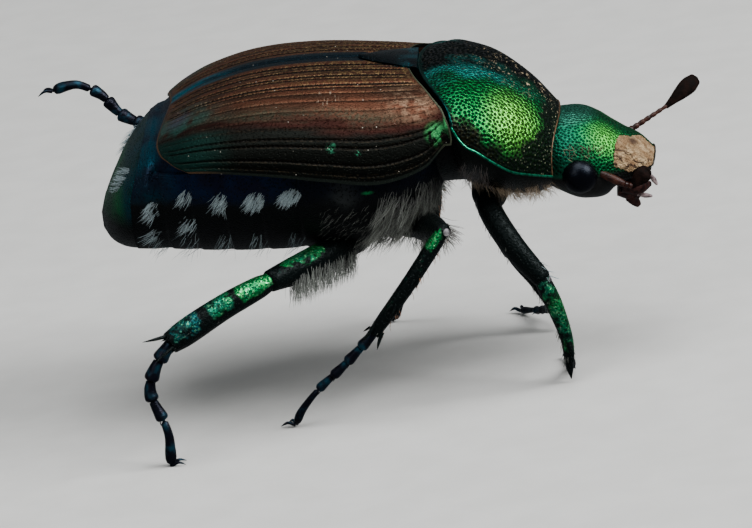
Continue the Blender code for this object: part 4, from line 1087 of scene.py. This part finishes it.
class Coat:
    """Gathers hairs into one mesh, with a flat map of its points."""

    def __init__(self):
        self.form = Form()
        self.map = []

    def hair(self, root, heading, length, half_width, draw, wave, sag=Vector()):
        side = heading.cross(Vector((0.31, 0.22, 0.92))).normalized()
        up = side.cross(heading)
        turn, shade, phase = draw.uniform(0, 2 * math.pi), draw.random(), draw.uniform(0, 2 * math.pi)
        bow = side * math.cos(phase) + up * math.sin(phase)
        home = (root.x + 7.2) / 14.4, math.atan2(root.y, root.z + 0.4) / (2 * math.pi) + 0.5
        points, lay = [], []
        for r in range(HAIR_RINGS):
            t = r / HAIR_RINGS
            here = root + (heading + sag * t) * length * t + bow * wave * math.sin(2.4 * math.pi * t)
            radius = half_width * (1 - t) ** 0.55
            for k in range(3):
                angle = turn + 2 * math.pi * k / 3
                points.append(here + (side * math.cos(angle) + up * math.sin(angle)) * radius)
                lay.append((t, shade, 0.0))
                self.map.append((home[0] + 0.0010 * (k - 1), home[1] + 0.0024 * (t - 0.5)))
        points.append(root + heading * length + sag * length)
        lay.append((1.0, shade, 0.0))
        self.map.append((home[0], home[1] + 0.0012))
        top = 3 * (HAIR_RINGS - 1)
        faces = [(r + k, r + (k + 1) % 3, r + 3 + (k + 1) % 3, r + 3 + k)
                 for r in range(0, top, 3) for k in range(3)]
        faces += [(top + k, top + (k + 1) % 3, top + 3) for k in range(3)]
        self.form.add(points, lay, faces)

    def plant(self, found, heading, lift, length, half_width, draw, wave, sag=Vector()):
        """Hair from a point of the skin, laid along the skin and lifted off it."""
        root, normal = found
        flat = heading - normal * heading.dot(normal)
        ahead = (flat.normalized() + normal * lift).normalized()
        self.hair(root - normal * ROOT_DEPTH, ahead, length, half_width, draw, wave, sag)

    def piece(self, name, look, slot):
        obj = self.form.piece(name, look, slot, angle=180)
        made = obj.data.uv_layers.new(name="OFBake")
        corners = [0] * len(obj.data.loops)
        obj.data.loops.foreach_get("vertex_index", corners)
        made.data.foreach_set("uv", [c for k in corners for c in self.map[k]])


def sway(root, amount):
    """Drift that neighbouring hairs share, so that they gather into locks."""
    return noise.noise_vector(root * 3.2) * amount


def astray(draw, *amounts):
    """A random shift, with its own spread along each axis."""
    return Vector([draw.gauss(0, amount) if amount else 0.0 for amount in amounts])


def met(tree, origin, way):
    """Point and outward normal where a ray meets a body, or None."""
    hit, normal, _, _ = tree.ray_cast(origin, way)
    if hit is None:
        return None
    return hit, (normal if normal.dot(way) < 0 else -normal)


def from_side(tree, x, z, side):
    return met(tree, Vector((x, 6.0 * side, z)), Vector((0, -side, 0)))


def in_disc(draw):
    reach, turn = math.sqrt(draw.random()), draw.uniform(0, 2 * math.pi)
    return reach * math.cos(turn), reach * math.sin(turn)


def flank_tufts(coat, tree, draw):
    """Round white tufts of dense hairs that lie back and down along the abdomen."""
    for side in (1, -1):
        for x, z, half_x, half_z, count, length, heading in FLANK_TUFTS:
            shift = heading * length * TUFT_SHIFT
            for _ in range(count):
                ahead, up = in_disc(draw)
                found = from_side(tree, x + half_x * ahead - shift.x, z + half_z * up - shift.z, side)
                if found:
                    coat.plant(found, heading + astray(draw, 0.13, 0, 0.13), 0.18 + 0.25 * draw.random(),
                               length * draw.uniform(0.65, 1.2), TUFT_HAIR, draw, 0.010, found[1] * -0.16)


def tail_tufts(coat, tree, draw):
    y, z, half_y, half_z, count, length = TAIL_TUFT
    for side in (1, -1):
        for _ in range(count):
            out, up = in_disc(draw)
            found = met(tree, Vector((-7.0, (y + half_y * out) * side, z + half_z * up)), Vector((1, 0, 0)))
            if found:
                heading = Vector((-0.40, -0.70 * side, -0.30)) + astray(draw, 0, 0, 0.16)
                coat.plant(found, heading, 0.30 + 0.25 * draw.random(), length * draw.uniform(0.75, 1.2),
                           TUFT_HAIR, draw, 0.008, found[1] * -0.14)


def sparse_hairs(coat, tree, draw, spans, count, length, half_width, heading, lift, wave, sag=Vector()):
    """Hairs over a rectangle of x and z on both flanks."""
    for side in (1, -1):
        for _ in range(count):
            found = from_side(tree, draw.uniform(*spans[0]), draw.uniform(*spans[1]), side)
            if found:
                swing = astray(draw, 0.14, 0.08, 0.12) + sway(found[0], 0.5)
                coat.plant(found, heading + swing, lift * draw.uniform(0.5, 1.4),
                           length * draw.uniform(0.6, 1.2), half_width, draw, wave, sag)


def wool_locks(coat, tree, draw, spans, count, length, heading, sag):
    """Long hairs on both flanks, gathered into locks whose tips come together."""
    for side in (1, -1):
        for _ in range(count):
            x, z = draw.uniform(*spans[0]), draw.uniform(*spans[1])
            found = from_side(tree, x, z, side)
            if found is None:
                continue
            root, normal = found
            swing = astray(draw, 0.20, 0, 0.14) + sway(root, 0.45)
            flat = heading + swing - normal * (heading + swing).dot(normal)
            ahead = (flat.normalized() + normal * draw.uniform(0.10, 0.50)).normalized()
            tip = root + ahead * length * draw.uniform(0.6, 1.15)
            for _ in range(draw.randint(4, 8)):
                at = from_side(tree, x + draw.gauss(0, 0.045), z + draw.gauss(0, 0.045), side)
                if at:
                    to_tip = tip - at[0] + astray(draw, 0.03, 0.03, 0.03)
                    coat.hair(at[0] - at[1] * ROOT_DEPTH, to_tip.normalized(),
                              to_tip.length * draw.uniform(0.8, 1.05), WOOL_HAIR, draw, 0.03, sag)


def belly_hairs(coat, tree, draw, spans, count, length, half_width, heading, lift):
    """Hairs over a rectangle of x and y on the underside."""
    for _ in range(count):
        x, y = draw.uniform(*spans[0]), draw.uniform(*spans[1]) * draw.choice((-1, 1))
        found = met(tree, Vector((x, y, -6.0)), Vector((0, 0, 1)))
        if found:
            coat.plant(found, heading + astray(draw, 0.2, 0.2, 0.1), lift * draw.uniform(0.5, 1.5),
                       length * draw.uniform(0.6, 1.2), half_width, draw, 0.015)


def brow_hairs(coat, tree, draw):
    """A few pale bristles over each eye."""
    for side in (1, -1):
        for _ in range(34):
            found = from_side(tree, draw.uniform(3.80, 4.50), draw.uniform(0.26, 0.52), side)
            if found:
                root, normal = found
                ahead = (normal + Vector((draw.uniform(-0.8, 0.6), 0, draw.uniform(0.1, 0.9)))).normalized()
                coat.hair(root - normal * 0.01, ahead, draw.uniform(0.14, 0.28), 0.0060, draw, 0.005)


def ring_hairs(coat, rings, draw, shares, headings, count, length, half_width, wave, lift):
    """Hairs on the side of a limb that faces one of the headings, between two shares of its length."""
    for _ in range(count):
        r = int(draw.uniform(*shares) * (len(rings) - 1))
        centre = sum(rings[r], Vector()) / len(rings[r])
        out, ahead = draw.choice(headings)
        out = (out + astray(draw, 0.35, 0.35, 0.35)).normalized()
        root = max(rings[r], key=lambda p: (p - centre).dot(out))
        normal = direction(centre, root)
        heading = (ahead + normal * lift + astray(draw, 0.10, 0.10, 0.10)).normalized()
        root = root - normal * ROOT_DEPTH
        coat.hair(root, heading, length * draw.uniform(0.6, 1.2), half_width, draw, wave)


def level_with(ahead):
    """Level direction square to a heading, or the body's left where the heading is upright."""
    level = ahead.cross(Vector((0, 0, 1)))
    return level.normalized() if level.length > 0.25 else Vector((0, 1, 0))


def shining(form, bands, towards, narrow):
    """Writes into lay the hue and shine of painted highlight bands along the limb, on the side that faces
    towards.
    """
    centres = {}
    for p, (along, _, _) in zip(form.points, form.lay):
        total, count = centres.get(round(along, 4), (Vector(), 0))
        centres[round(along, 4)] = (total + p, count + 1)
    lay = []
    for p, (along, _, _) in zip(form.points, form.lay):
        total, count = centres[round(along, 4)]
        out = p - total / count
        facing = out.normalized().dot(towards) if out.length > 0 else 0.0
        band, hue = max((amount * smooth(along, a - 0.05, a + 0.04) * smooth(along, b + 0.05, b - 0.04), hue)
                        for a, b, amount, hue in bands)
        lay.append((along, hue, band * smooth(facing, narrow, narrow + 0.50)))
    form.lay = lay
    return form


def leg(name, points, looks, coats, draw):
    """Femur, tibia and tarsus of one leg, with its spines, spurs, claws and bristles."""
    pair = name.split("_")[0]
    femur_path, tibia_path, tarsus_path = ([Vector(p) for p in group] for group in points)
    knee, ankle = femur_path[-1], tibia_path[-1]
    tibia_path = [knee, *tibia_path]
    tarsus_path = [ankle, *tarsus_path]
    bend = direction(femur_path[0], knee).cross(direction(knee, ankle)).normalized()
    side = -1 if name.endswith("right") else 1
    # The painted highlight bands face this way.
    lit = Vector((0.6, 0.5 * side, 0.6) if pair == "fore" else (0.15, 0.42 * side, 0.90)).normalized()

    rings = []
    narrow = -0.5 if pair == "fore" else 0.15
    for part, path, shape, bands, start, rows, before, after, facing in (
        ("femur", femur_path, FEMUR_SHAPE, FEMUR_BANDS, femur_path[0], 44, 0.0, 0.12, 0.64),
        ("tibia", tibia_path, TIBIA_SHAPE, TIBIA_BANDS, knee, 64, 0.10, 0.05, narrow),
    ):
        across = bend.cross(direction(start, path[-1]))
        rings.append(tube_rings(path, shape[pair], 28, across, rows, before, after))
        limb = shining(Form().loft(rings[-1]), bands[pair], lit, facing)
        if part == "tibia":
            limb.join(tibia_spines(pair, path, across, bend))
        limb.piece(f"{name}_{part}_plate", looks["leg"], "green_cuticle", [f"{name}_{part}"])
    knee_at = knee + direction(femur_path[-2], knee) * 0.10 + bend * 0.05
    knee_pad = ball(knee_at, 0.50 * FEMUR_SHAPE[pair][-1][1], 20, 12)
    knee_pad.piece(name + "_knee", looks["joint"], "brown_mouth")

    foot(pair, tarsus_path).piece(name + "_foot", looks["foot"], "black_cuticle", [name + "_tarsus"])
    leg_hairs(pair, side, *rings, coats, draw)


def tibia_spines(pair, path, across, bend):
    """Teeth, spurs and short spines of a tibia."""
    ankle = path[-1]
    down = direction(path[-2], ankle)
    made = Form()
    if pair == "fore":
        made.join(spike(ankle - down * 0.12, ankle + (down * 0.42 + across * 0.02), 0.10, across * 0.02))
        made.join(spike(ankle - down * 0.50 - across * 0.04, ankle - down * 0.10 - across * 0.24, 0.08))
        return made
    for turn in (-1, 1):
        root = ankle - down * 0.12 + bend * 0.10 * turn - across * 0.08
        tip = root + (down - across * 0.50 + bend * 0.22 * turn).normalized() * SPUR_LENGTH[pair]
        made.join(spike(root, tip, 0.045, bend=down * 0.03))
    for share in (0.42, 0.70):
        here = path_at(path, path_length(path) * share)
        for turn in (-0.6, 0.0, 0.6):
            out = (bend * turn - across).normalized()
            root = here + out * 0.14
            made.join(spike(root, root + (out * 0.6 + down).normalized() * 0.20, 0.022))
    for turn in (-1.0, -0.5, 0.0, 0.5, 1.0):
        out = (bend * turn + across * 0.4).normalized()
        root = ankle - down * 0.04 + out * 0.14
        made.join(spike(root, root + (out * 0.35 + down).normalized() * 0.16, 0.025))
    return made


def foot(pair, path):
    """Five beads that widen towards the toe, and a pair of curved claws."""
    standing = (TO_FLOOR @ path[-1]).z < RAISED_ABOVE
    half = TARSUS_HALF_WIDTH[pair]
    if standing:
        toe = TO_FLOOR @ path[-1]
        ahead = direction(path[-2], path[-1])
        toe.z = half * 0.62 * math.hypot(ahead.x, ahead.y) + 0.01
        path = [*path[:-1], TO_FLOOR.inverted() @ toe]
    total = path_length(path)
    short = (1 - TARSUS_LAST_SHARE) / (TARSOMERES - 1)
    made = Form()
    start = 0.0
    for k in range(TARSOMERES):
        length = TARSUS_LAST_SHARE if k == TARSOMERES - 1 else short
        stops = [path_at(path, total * (start + length * s)) for s in (0.02, 0.35, 0.7, 0.97)]
        size = half * (1.0 - 0.06 * k)
        shape = [(s, size * w, size * d) for s, w, d in (LAST_BEAD if k == TARSOMERES - 1 else FOOT_BEAD)]
        ahead = direction(stops[0], stops[-1])
        level = level_with(ahead)
        made.join(tube(stops, shape, level, 18, 14, before=0.03, after=0.03))
        for turn in (-1, 1):
            root = stops[2] - Vector((0, 0, size * 0.5)) + level * size * 0.5 * turn
            if k < TARSOMERES - 1:
                tip = root + (ahead + level * 0.4 * turn - Vector((0, 0, 0.35))) * 0.11
                made.join(spike(root, tip, 0.014))
        start += length
    return made.join(claws(path, standing))


def claws(path, standing):
    end = path[-1]
    ahead = direction(path[-2], end)
    level = level_with(ahead)
    forward = level.cross(Vector((0, 0, -1))) if standing else ahead
    if forward.dot(ahead) < 0:
        forward = -forward
    made = Form()
    for turn in (-1, 1):
        root = end + level * 0.035 * turn
        tip = end + forward * CLAW_LENGTH + level * 0.13 * turn
        if standing:
            low = TO_FLOOR @ tip
            low.z = 0.03
            tip = TO_FLOOR.inverted() @ low
        made.join(spike(root, tip, 0.04, bend=Vector((0, 0, 0.06))))
    return made


def leg_hairs(pair, side, femur_rings, tibia_rings, coats, draw):
    down, back, out = Vector((0, 0, -1)), Vector((-1, 0, 0)), Vector((0, side, 0))
    along = direction(tibia_rings[5][0], tibia_rings[-5][0])
    if pair == "hind":
        hang = [((down + out * 0.9).normalized(), (down + back * 0.12).normalized())]
        ring_hairs(coats["pale"], femur_rings, draw, (0.08, 0.80), hang, 420, 0.44, 0.0060, 0.02, 0.12)
        front = [((down * 0.3 + out).normalized(), (down + back * 0.2 + out * 0.1).normalized())]
        ring_hairs(coats["pale"], femur_rings, draw, (0.10, 0.75), front, 260, 0.42, 0.0064, 0.02, 0.25)
    if pair == "middle":
        hang = [((down + out).normalized(), down), (Vector((0.9, 0, -0.3)), Vector((0.5, 0, -0.8)))]
        ring_hairs(coats["pale"], femur_rings, draw, (0.0, 0.75), hang, 200, 0.40, 0.0056, 0.03, 0.2)
        ring_hairs(coats["black"], femur_rings, draw, (0.55, 1.0), hang, 110, 0.36, 0.0056, 0.02, 0.7)
        front = [(Vector((0.8, 0, -0.5)), along)]
        ring_hairs(coats["rust"], tibia_rings, draw, (0.05, 0.95), front, 26, 0.20, 0.0085, 0.01, 0.8)
    if pair == "fore":
        front = [(Vector((0.9, 0, 0.3)), along)]
        ring_hairs(coats["white"], femur_rings, draw, (0.75, 1.0), front, 12, 0.26, 0.0075, 0.01, 0.9)
        rear = [(Vector((-1, 0, -0.2)), along)]
        ring_hairs(coats["grey"], tibia_rings, draw, (0.60, 1.0), rear, 26, 0.16, 0.0070, 0.005, 0.7)
        ring_hairs(coats["grey"], femur_rings, draw, (0.1, 0.7), rear, 26, 0.14, 0.0060, 0.005, 0.5)
    everywhere = [(Vector((math.cos(a), math.sin(a), 0.2)), along) for a in (0.3, 1.8, 3.4, 4.9)]
    ring_hairs(coats["grey"], tibia_rings, draw, (0.05, 1.0), everywhere, 60, 0.11, 0.0050, 0.003, 0.35)


def antenna(side, looks):
    """Thick first joint, a stalk of small beads, and a club of three flat leaves."""
    root, bend, start, tip = ANTENNAE[side]
    scape = tube([root, bend], ((0.0, 0.07, 0.07), (0.6, 0.085, 0.08), (1.0, 0.07, 0.065)), count=16, rows=16,
                 before=0.05, after=0.05)
    total = (start - bend).length
    beads = 6 if side == "left" else 2
    for k in range(beads):
        a = bend.lerp(start, (k + 0.06) / beads)
        b = bend.lerp(start, (k + 0.94) / beads)
        size = 0.062 - 0.004 * k
        scape.join(tube([a, b], rounded(size, (0.0, 0.8), (0.7, 1), (1.0, 0.8)), count=14, rows=9,
                        before=total * 0.03, after=total * 0.03))
    # The socket takes the pale palp look: a painted highlight at the base of the antenna.
    socket = ball(root - direction(root, bend) * 0.07, 0.055, 16, 10)
    socket.piece(f"antenna_{side}_socket", looks["palp"], "brown_mouth")
    scape.piece(f"antenna_{side}_beads", looks["brown"], "brown_mouth", [f"antenna_{side}_stalk"])
    club = Form()
    ahead = direction(start, tip)
    broad = ahead.cross(Vector((0.06, -0.94, 0.33))).normalized()
    flat = ahead.cross(broad)
    for k in (-1, 0, 1):
        lift = flat * 0.060 * k
        far = tip - ahead * (0.05 + 0.03 * abs(k))
        path = [start - ahead * 0.04, start.lerp(tip, 0.4) + lift * 1.1, start.lerp(tip, 0.75) + lift * 1.15,
                far + lift * 0.8]
        shape = ((0.0, 0.050, 0.03), (0.25, 0.085, 0.034), (0.55, 0.140, 0.038), (0.82, 0.172, 0.040),
                 (1.0, 0.135, 0.034))
        club.join(tube(path, shape, broad, 20, 30, after=0.09))
    club.piece(f"antenna_{side}_leaves", looks["club"], "black_cuticle", [f"antenna_{side}_club"])


def mouth(looks):
    jaws = ribbed(MOUTH, 24, turns_of(20, 20), upper=2.4, lower=2.4)
    for turn in (1, -1):
        for path, shape, across, count, rows in (JAW, LABIUM):
            points = [Vector((x, y * turn, z)) for x, y, z in path]
            jaws.join(tube(points, shape, across, count, rows, after=0.05))
    jaws.piece("jaws_and_lip", looks["mouth"], "brown_mouth", ["mouthparts"])
    for side, path in PALPS.items():
        palp = Form()
        for a, b, size in ((path[0], path[1], 0.045), (path[1], path[2], 0.052)):
            shape = rounded(size, (0.0, 0.7), (0.5, 1), (1.0, 0.55))
            palp.join(tube([a, b], shape, Vector((0, 1, 0)), 12, 12, before=0.02, after=0.03))
        palp.piece(f"palp_{side}_joints", looks["palp"], "brown_mouth", [f"palp_{side}"])


def waist():
    """Black membrane between the two parts of the thorax, inside the rims of both."""
    rings = []
    for k in range(13):
        x = 1.02 + 1.1 * k / 12
        pinch = 1 - 0.10 * math.sin(math.pi * k / 12)
        rib = (x, 1.86 * pinch, x, 2.02 * pinch, 0.78, x + 0.02, -0.16 / pinch)
        rings.append([rib_point(rib, turn, 2.2, 1.8) for turn in turns_of(36, 36)])
    return Form().loft(rings)


def prothorax(looks, draw):
    upper, lower = 2.3, 1.6
    body = ribbed(PROTHORAX, 170, turns_of(380, 90), PROTHORAX_HOLLOW, None, upper, lower, PROTHORAX_SWEEP)
    body.pit(lambda p, place: place[1] <= 0.5 and 0.045 < place[0] < 0.985, PRONOTUM_PITS, draw)
    body.piece("pronotum", looks["pronotum"], "green_cuticle", ["prothorax"])
    on_both_sides(*FORE_COXA).piece("fore_coxae", looks["black"], "black_cuticle")
    waist().piece("waist_membrane", looks["black"], "black_cuticle")
    sides = {"left": 0.0, "right": math.pi}
    for name, angle in sides.items():
        edge = [(s / 8, angle) for s in range(9)]
        bead = rib_bead(PROTHORAX, edge, 0.026, upper, lower, sweep=PROTHORAX_SWEEP)
        bead.piece(f"pronotum_edge_{name}", looks["green_rim"], "green_cuticle")
    for name, share, radius, look in (("front", 1.0, 0.013, "gold_rim"), ("hind", 0.0, 0.022, "blue_rim")):
        edge = [(share, math.pi * k / 40) for k in range(41)]
        bead = rib_bead(PROTHORAX, edge, radius, upper, lower, 120, PROTHORAX_SWEEP)
        bead.piece(f"pronotum_{name}_edge", looks[look], "green_cuticle")
    return body


def head(looks, draw):
    skull = ribbed(HEAD, 150, turns_of(230, 70))
    skull.pit(lambda p, place: place[1] <= 0.5 and place[0] > 0.02, HEAD_PITS, draw)
    skull.piece("head_shield", looks["head"], "green_cuticle", ["head", "clypeus"])
    rim = [(1.0, math.pi * (0.02 + 0.96 * k / 24)) for k in range(25)]
    rib_bead(HEAD, rim, 0.024, 2.2, 2.1, 90).piece("clypeus_rim", looks["lip_rim"], "green_cuticle")
    crust().piece("clypeus_dust", looks["crust"], "clypeus_crust", angle=180)
    for name, at in (("left", EYE_AT), ("right", mirrored(EYE_AT))):
        ellipsoid(at, EYE_RADII, 80, 50).piece(f"eye_{name}_lens", looks["eye"], "eye", [f"eye_{name}"])
    return skull


def build_animal():
    draw = random.Random(HAIR_SEED)
    noise.seed_set(HAIR_SEED)
    looks = {
        "pronotum": pronotum_look(), "head": head_look(), "elytra": elytra_look(),
        "scutellum": scutellum_look(), "abdomen": abdomen_look(), "tail": tail_look(), "black": black_look(),
        "leg": leg_look(), "foot": foot_look(), "eye": eye_look(), "crust": crust_look(),
        "brown": brown_look("feeler_brown", (0.016, 0.004, 0.003), (0.045, 0.012, 0.006), 0.35, 0.3),
        "club": brown_look("club_brown", (0.003, 0.0015, 0.001), (0.009, 0.004, 0.003), 0.65, 0.05),
        "mouth": brown_look("mouth_brown", (0.008, 0.002, 0.002), (0.032, 0.008, 0.006), 0.35, 0.25),
        # Painted highlight: the palps and the antenna sockets are pale grey-pink all over.
        "palp": brown_look("palp_painted_highlight", (0.10, 0.07, 0.075), (0.36, 0.27, 0.27), 0.3),
        "joint": brown_look("joint_pale", (0.030, 0.028, 0.032), (0.30, 0.28, 0.30), 0.4),
        "green_rim": bead_look("green_rim", (0.02, 0.50, 0.26), 1.0, 0.28),
        "gold_rim": bead_look("gold_rim", (0.15, 0.075, 0.035), 0.4, 0.40),
        "lip_rim": bead_look("lip_rim", (0.030, 0.022, 0.012), 0.5, 0.45),
        "blue_rim": bead_look("blue_rim", (0.004, 0.085, 0.075), 1.0, 0.35),
    }
    skull = head(looks, draw)
    mouth(looks)
    for side in ANTENNAE:
        antenna(side, looks)
    fore_body = prothorax(looks, draw)
    scutellum().piece("scutellum_shield", looks["scutellum"], "blue_green_cuticle", ["scutellum"])
    for name, side in (("left", 1), ("right", -1)):
        plate = elytron(side)
        plate.piece(f"wing_case_{name}", looks["elytra"], "copper_elytra", [f"elytron_{name}"])
    trunk = under_body()
    trunk.piece("under_body", looks["abdomen"], "blue_green_cuticle", ["pterothorax", "abdomen"])
    coxae = on_both_sides(*MIDDLE_COXA).join(on_both_sides(*HIND_COXA))
    coxae.piece("coxae", looks["black"], "black_cuticle")
    tail = ribbed((TAIL_START, *PYGIDIUM), 80, turns_of(80, 60), end=PYGIDIUM_TIP)
    tail.piece("pygidium_plate", looks["tail"], "blue_green_cuticle", ["pygidium"])

    coats = {name: Coat() for name in ("white", "pale", "grey", "gold", "black", "rust")}
    skin, tail_skin, fore_skin = trunk.tree(), tail.tree(), fore_body.tree()
    flank_tufts(coats["white"], skin, draw)
    tail_tufts(coats["white"], tail_skin, draw)
    for first in (-1.50, -2.20, -2.92, -3.58, -4.20):
        rows = ((first - 0.13, first + 0.13), (-1.15, -0.30))
        sparse_hairs(coats["white"], skin, draw, rows, 18, 0.42, 0.0044, Vector((-0.50, 0, -0.85)), 0.45,
                     0.015, Vector((-0.05, 0, -0.1)))
    wool = ((0.14, 1.36), (-0.95, 0.42))
    wool_locks(coats["grey"], skin, draw, wool, 150, 0.72, Vector((-0.40, 0, -0.90)),
               Vector((-0.18, 0, -0.06)))
    sparse_hairs(coats["grey"], skin, draw, ((-0.95, 0.15), (-1.0, 0.20)), 140, 0.22, 0.0046,
                 Vector((-0.6, 0, -0.7)), 0.25, 0.01)
    belly_hairs(coats["grey"], skin, draw, ((-0.2, 1.3), (0.0, 2.2)), 700, 0.46, 0.0056,
                Vector((-0.6, 0, -0.4)), 0.8)
    belly_hairs(coats["gold"], fore_skin, draw, ((1.9, 3.5), (0.0, 1.6)), 420, 0.32, 0.0048,
                Vector((0.2, 0, -0.4)), 1.0)
    sparse_hairs(coats["gold"], fore_skin, draw, ((2.2, 3.4), (-0.5, 0.0)), 220, 0.34, 0.0048,
                 Vector((0.1, 0, -1.0)), 0.7, 0.015)
    sparse_hairs(coats["black"], fore_skin, draw, ((1.65, 2.3), (-0.1, 0.8)), 90, 0.34, 0.0048,
                 Vector((-0.3, 0, -0.9)), 0.6, 0.015)
    brow_hairs(coats["gold"], skull.tree(), draw)
    for name, points in LEGS.items():
        leg(name, points, looks, coats, draw)
    hairs = {
        "white": hair_look("hair_white", (0.22, 0.29, 0.31), (0.56, 0.72, 0.78), 0.7),
        "pale": hair_look("hair_pale", (0.09, 0.10, 0.09), (0.38, 0.42, 0.37), 0.9),
        "grey": hair_look("hair_grey", (0.022, 0.026, 0.021), (0.31, 0.34, 0.29), 1.0),
        "gold": hair_look("hair_gold", (0.22, 0.14, 0.07), (0.50, 0.38, 0.24), 0.7),
        "black": hair_look("hair_black", (0.02, 0.016, 0.014), (0.08, 0.05, 0.04), 0.5),
        "rust": hair_look("hair_rust", (0.30, 0.12, 0.05), (0.45, 0.22, 0.10), 0.5),
    }
    for name, coat in coats.items():
        coat.piece(f"coat_{name}", hairs[name], "black_cuticle")


def build_floor():
    look = Look("pale_floor", 0.0, 0.85, 0.2)
    grain = look.node("ShaderNodeTexCoord", {}, "Object").noise(900.0)
    look.colour = look.mix(grain.step(0.3, 0.7), (0.66, 0.66, 0.64), (0.70, 0.70, 0.68))
    made = bmesh.new()
    bmesh.ops.create_grid(made, x_segments=2, y_segments=2, size=1.5)
    mesh = bpy.data.meshes.new("floor")
    made.to_mesh(mesh)
    made.free()
    mesh.materials.append(look.finish(normal=look.bump(grain, 0.01)))
    floor = bpy.data.objects.new("floor", mesh)
    bpy.context.scene.collection.objects.link(floor)
    floor.visible_glossy = False


def area_light(name, towards, distance, size, power):
    """Soft square light that faces the animal from a direction."""
    data = bpy.data.lights.new(name, "AREA")
    data.size = size
    data.energy = power
    made = bpy.data.objects.new(name, data)
    bpy.context.scene.collection.objects.link(made)
    made.location = Vector((0, 0, 0.004)) + towards.normalized() * distance
    made.rotation_mode = "QUATERNION"
    made.rotation_quaternion = (-towards).to_track_quat("-Z", "Y")


def build_light():
    area_light("key", Vector((0.74, -0.26, 0.62)), 0.16, 0.09, 0.30)
    area_light("overhead", Vector((0.05, -0.22, 0.97)), 0.20, 0.15, 0.34)
    area_light("fill", Vector((-0.55, -0.85, 0.70)), 0.26, 0.12, 0.10)
    world = bpy.data.worlds.new("studio")
    world.use_nodes = True
    world.node_tree.nodes["Background"].inputs["Color"].default_value = (0.80, 0.86, 0.90, 1.0)
    world.node_tree.nodes["Background"].inputs["Strength"].default_value = 0.13
    bpy.context.scene.world = world


def build_camera():
    sin_a, cos_a = math.sin(CAMERA_AZIMUTH), math.cos(CAMERA_AZIMUTH)
    sin_e, cos_e = math.sin(CAMERA_ELEVATION), math.cos(CAMERA_ELEVATION)
    level = Vector((cos_a, sin_a, 0))
    up = Vector((-sin_a * sin_e, cos_a * sin_e, cos_e))
    back = Vector((sin_a * cos_e, -cos_a * cos_e, sin_e))
    right = level * math.cos(CAMERA_ROLL) - up * math.sin(CAMERA_ROLL)
    top = level * math.sin(CAMERA_ROLL) + up * math.cos(CAMERA_ROLL)
    at = back * CAMERA_DISTANCE - top * CAMERA_LOWERED
    turn = Matrix((right, top, back)).transposed()
    data = bpy.data.cameras.new("camera")
    data.lens = CAMERA_LENS
    data.sensor_width = CAMERA_SENSOR
    data.clip_start = 0.005
    data.clip_end = 10.0
    camera = bpy.data.objects.new("camera", data)
    bpy.context.scene.collection.objects.link(camera)
    camera.rotation_mode = "QUATERNION"
    camera.rotation_quaternion = (TO_FLOOR.to_3x3() @ turn).to_quaternion()
    camera.location = (TO_FLOOR @ at) * MM
    bpy.context.scene.camera = camera


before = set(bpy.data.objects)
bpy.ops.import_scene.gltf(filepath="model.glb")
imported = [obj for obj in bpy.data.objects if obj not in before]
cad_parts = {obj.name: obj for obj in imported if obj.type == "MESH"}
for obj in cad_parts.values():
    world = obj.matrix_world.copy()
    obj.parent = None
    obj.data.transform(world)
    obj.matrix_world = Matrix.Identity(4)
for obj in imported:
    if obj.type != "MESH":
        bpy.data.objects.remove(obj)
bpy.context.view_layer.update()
build_animal()
build_floor()
build_light()
build_camera()
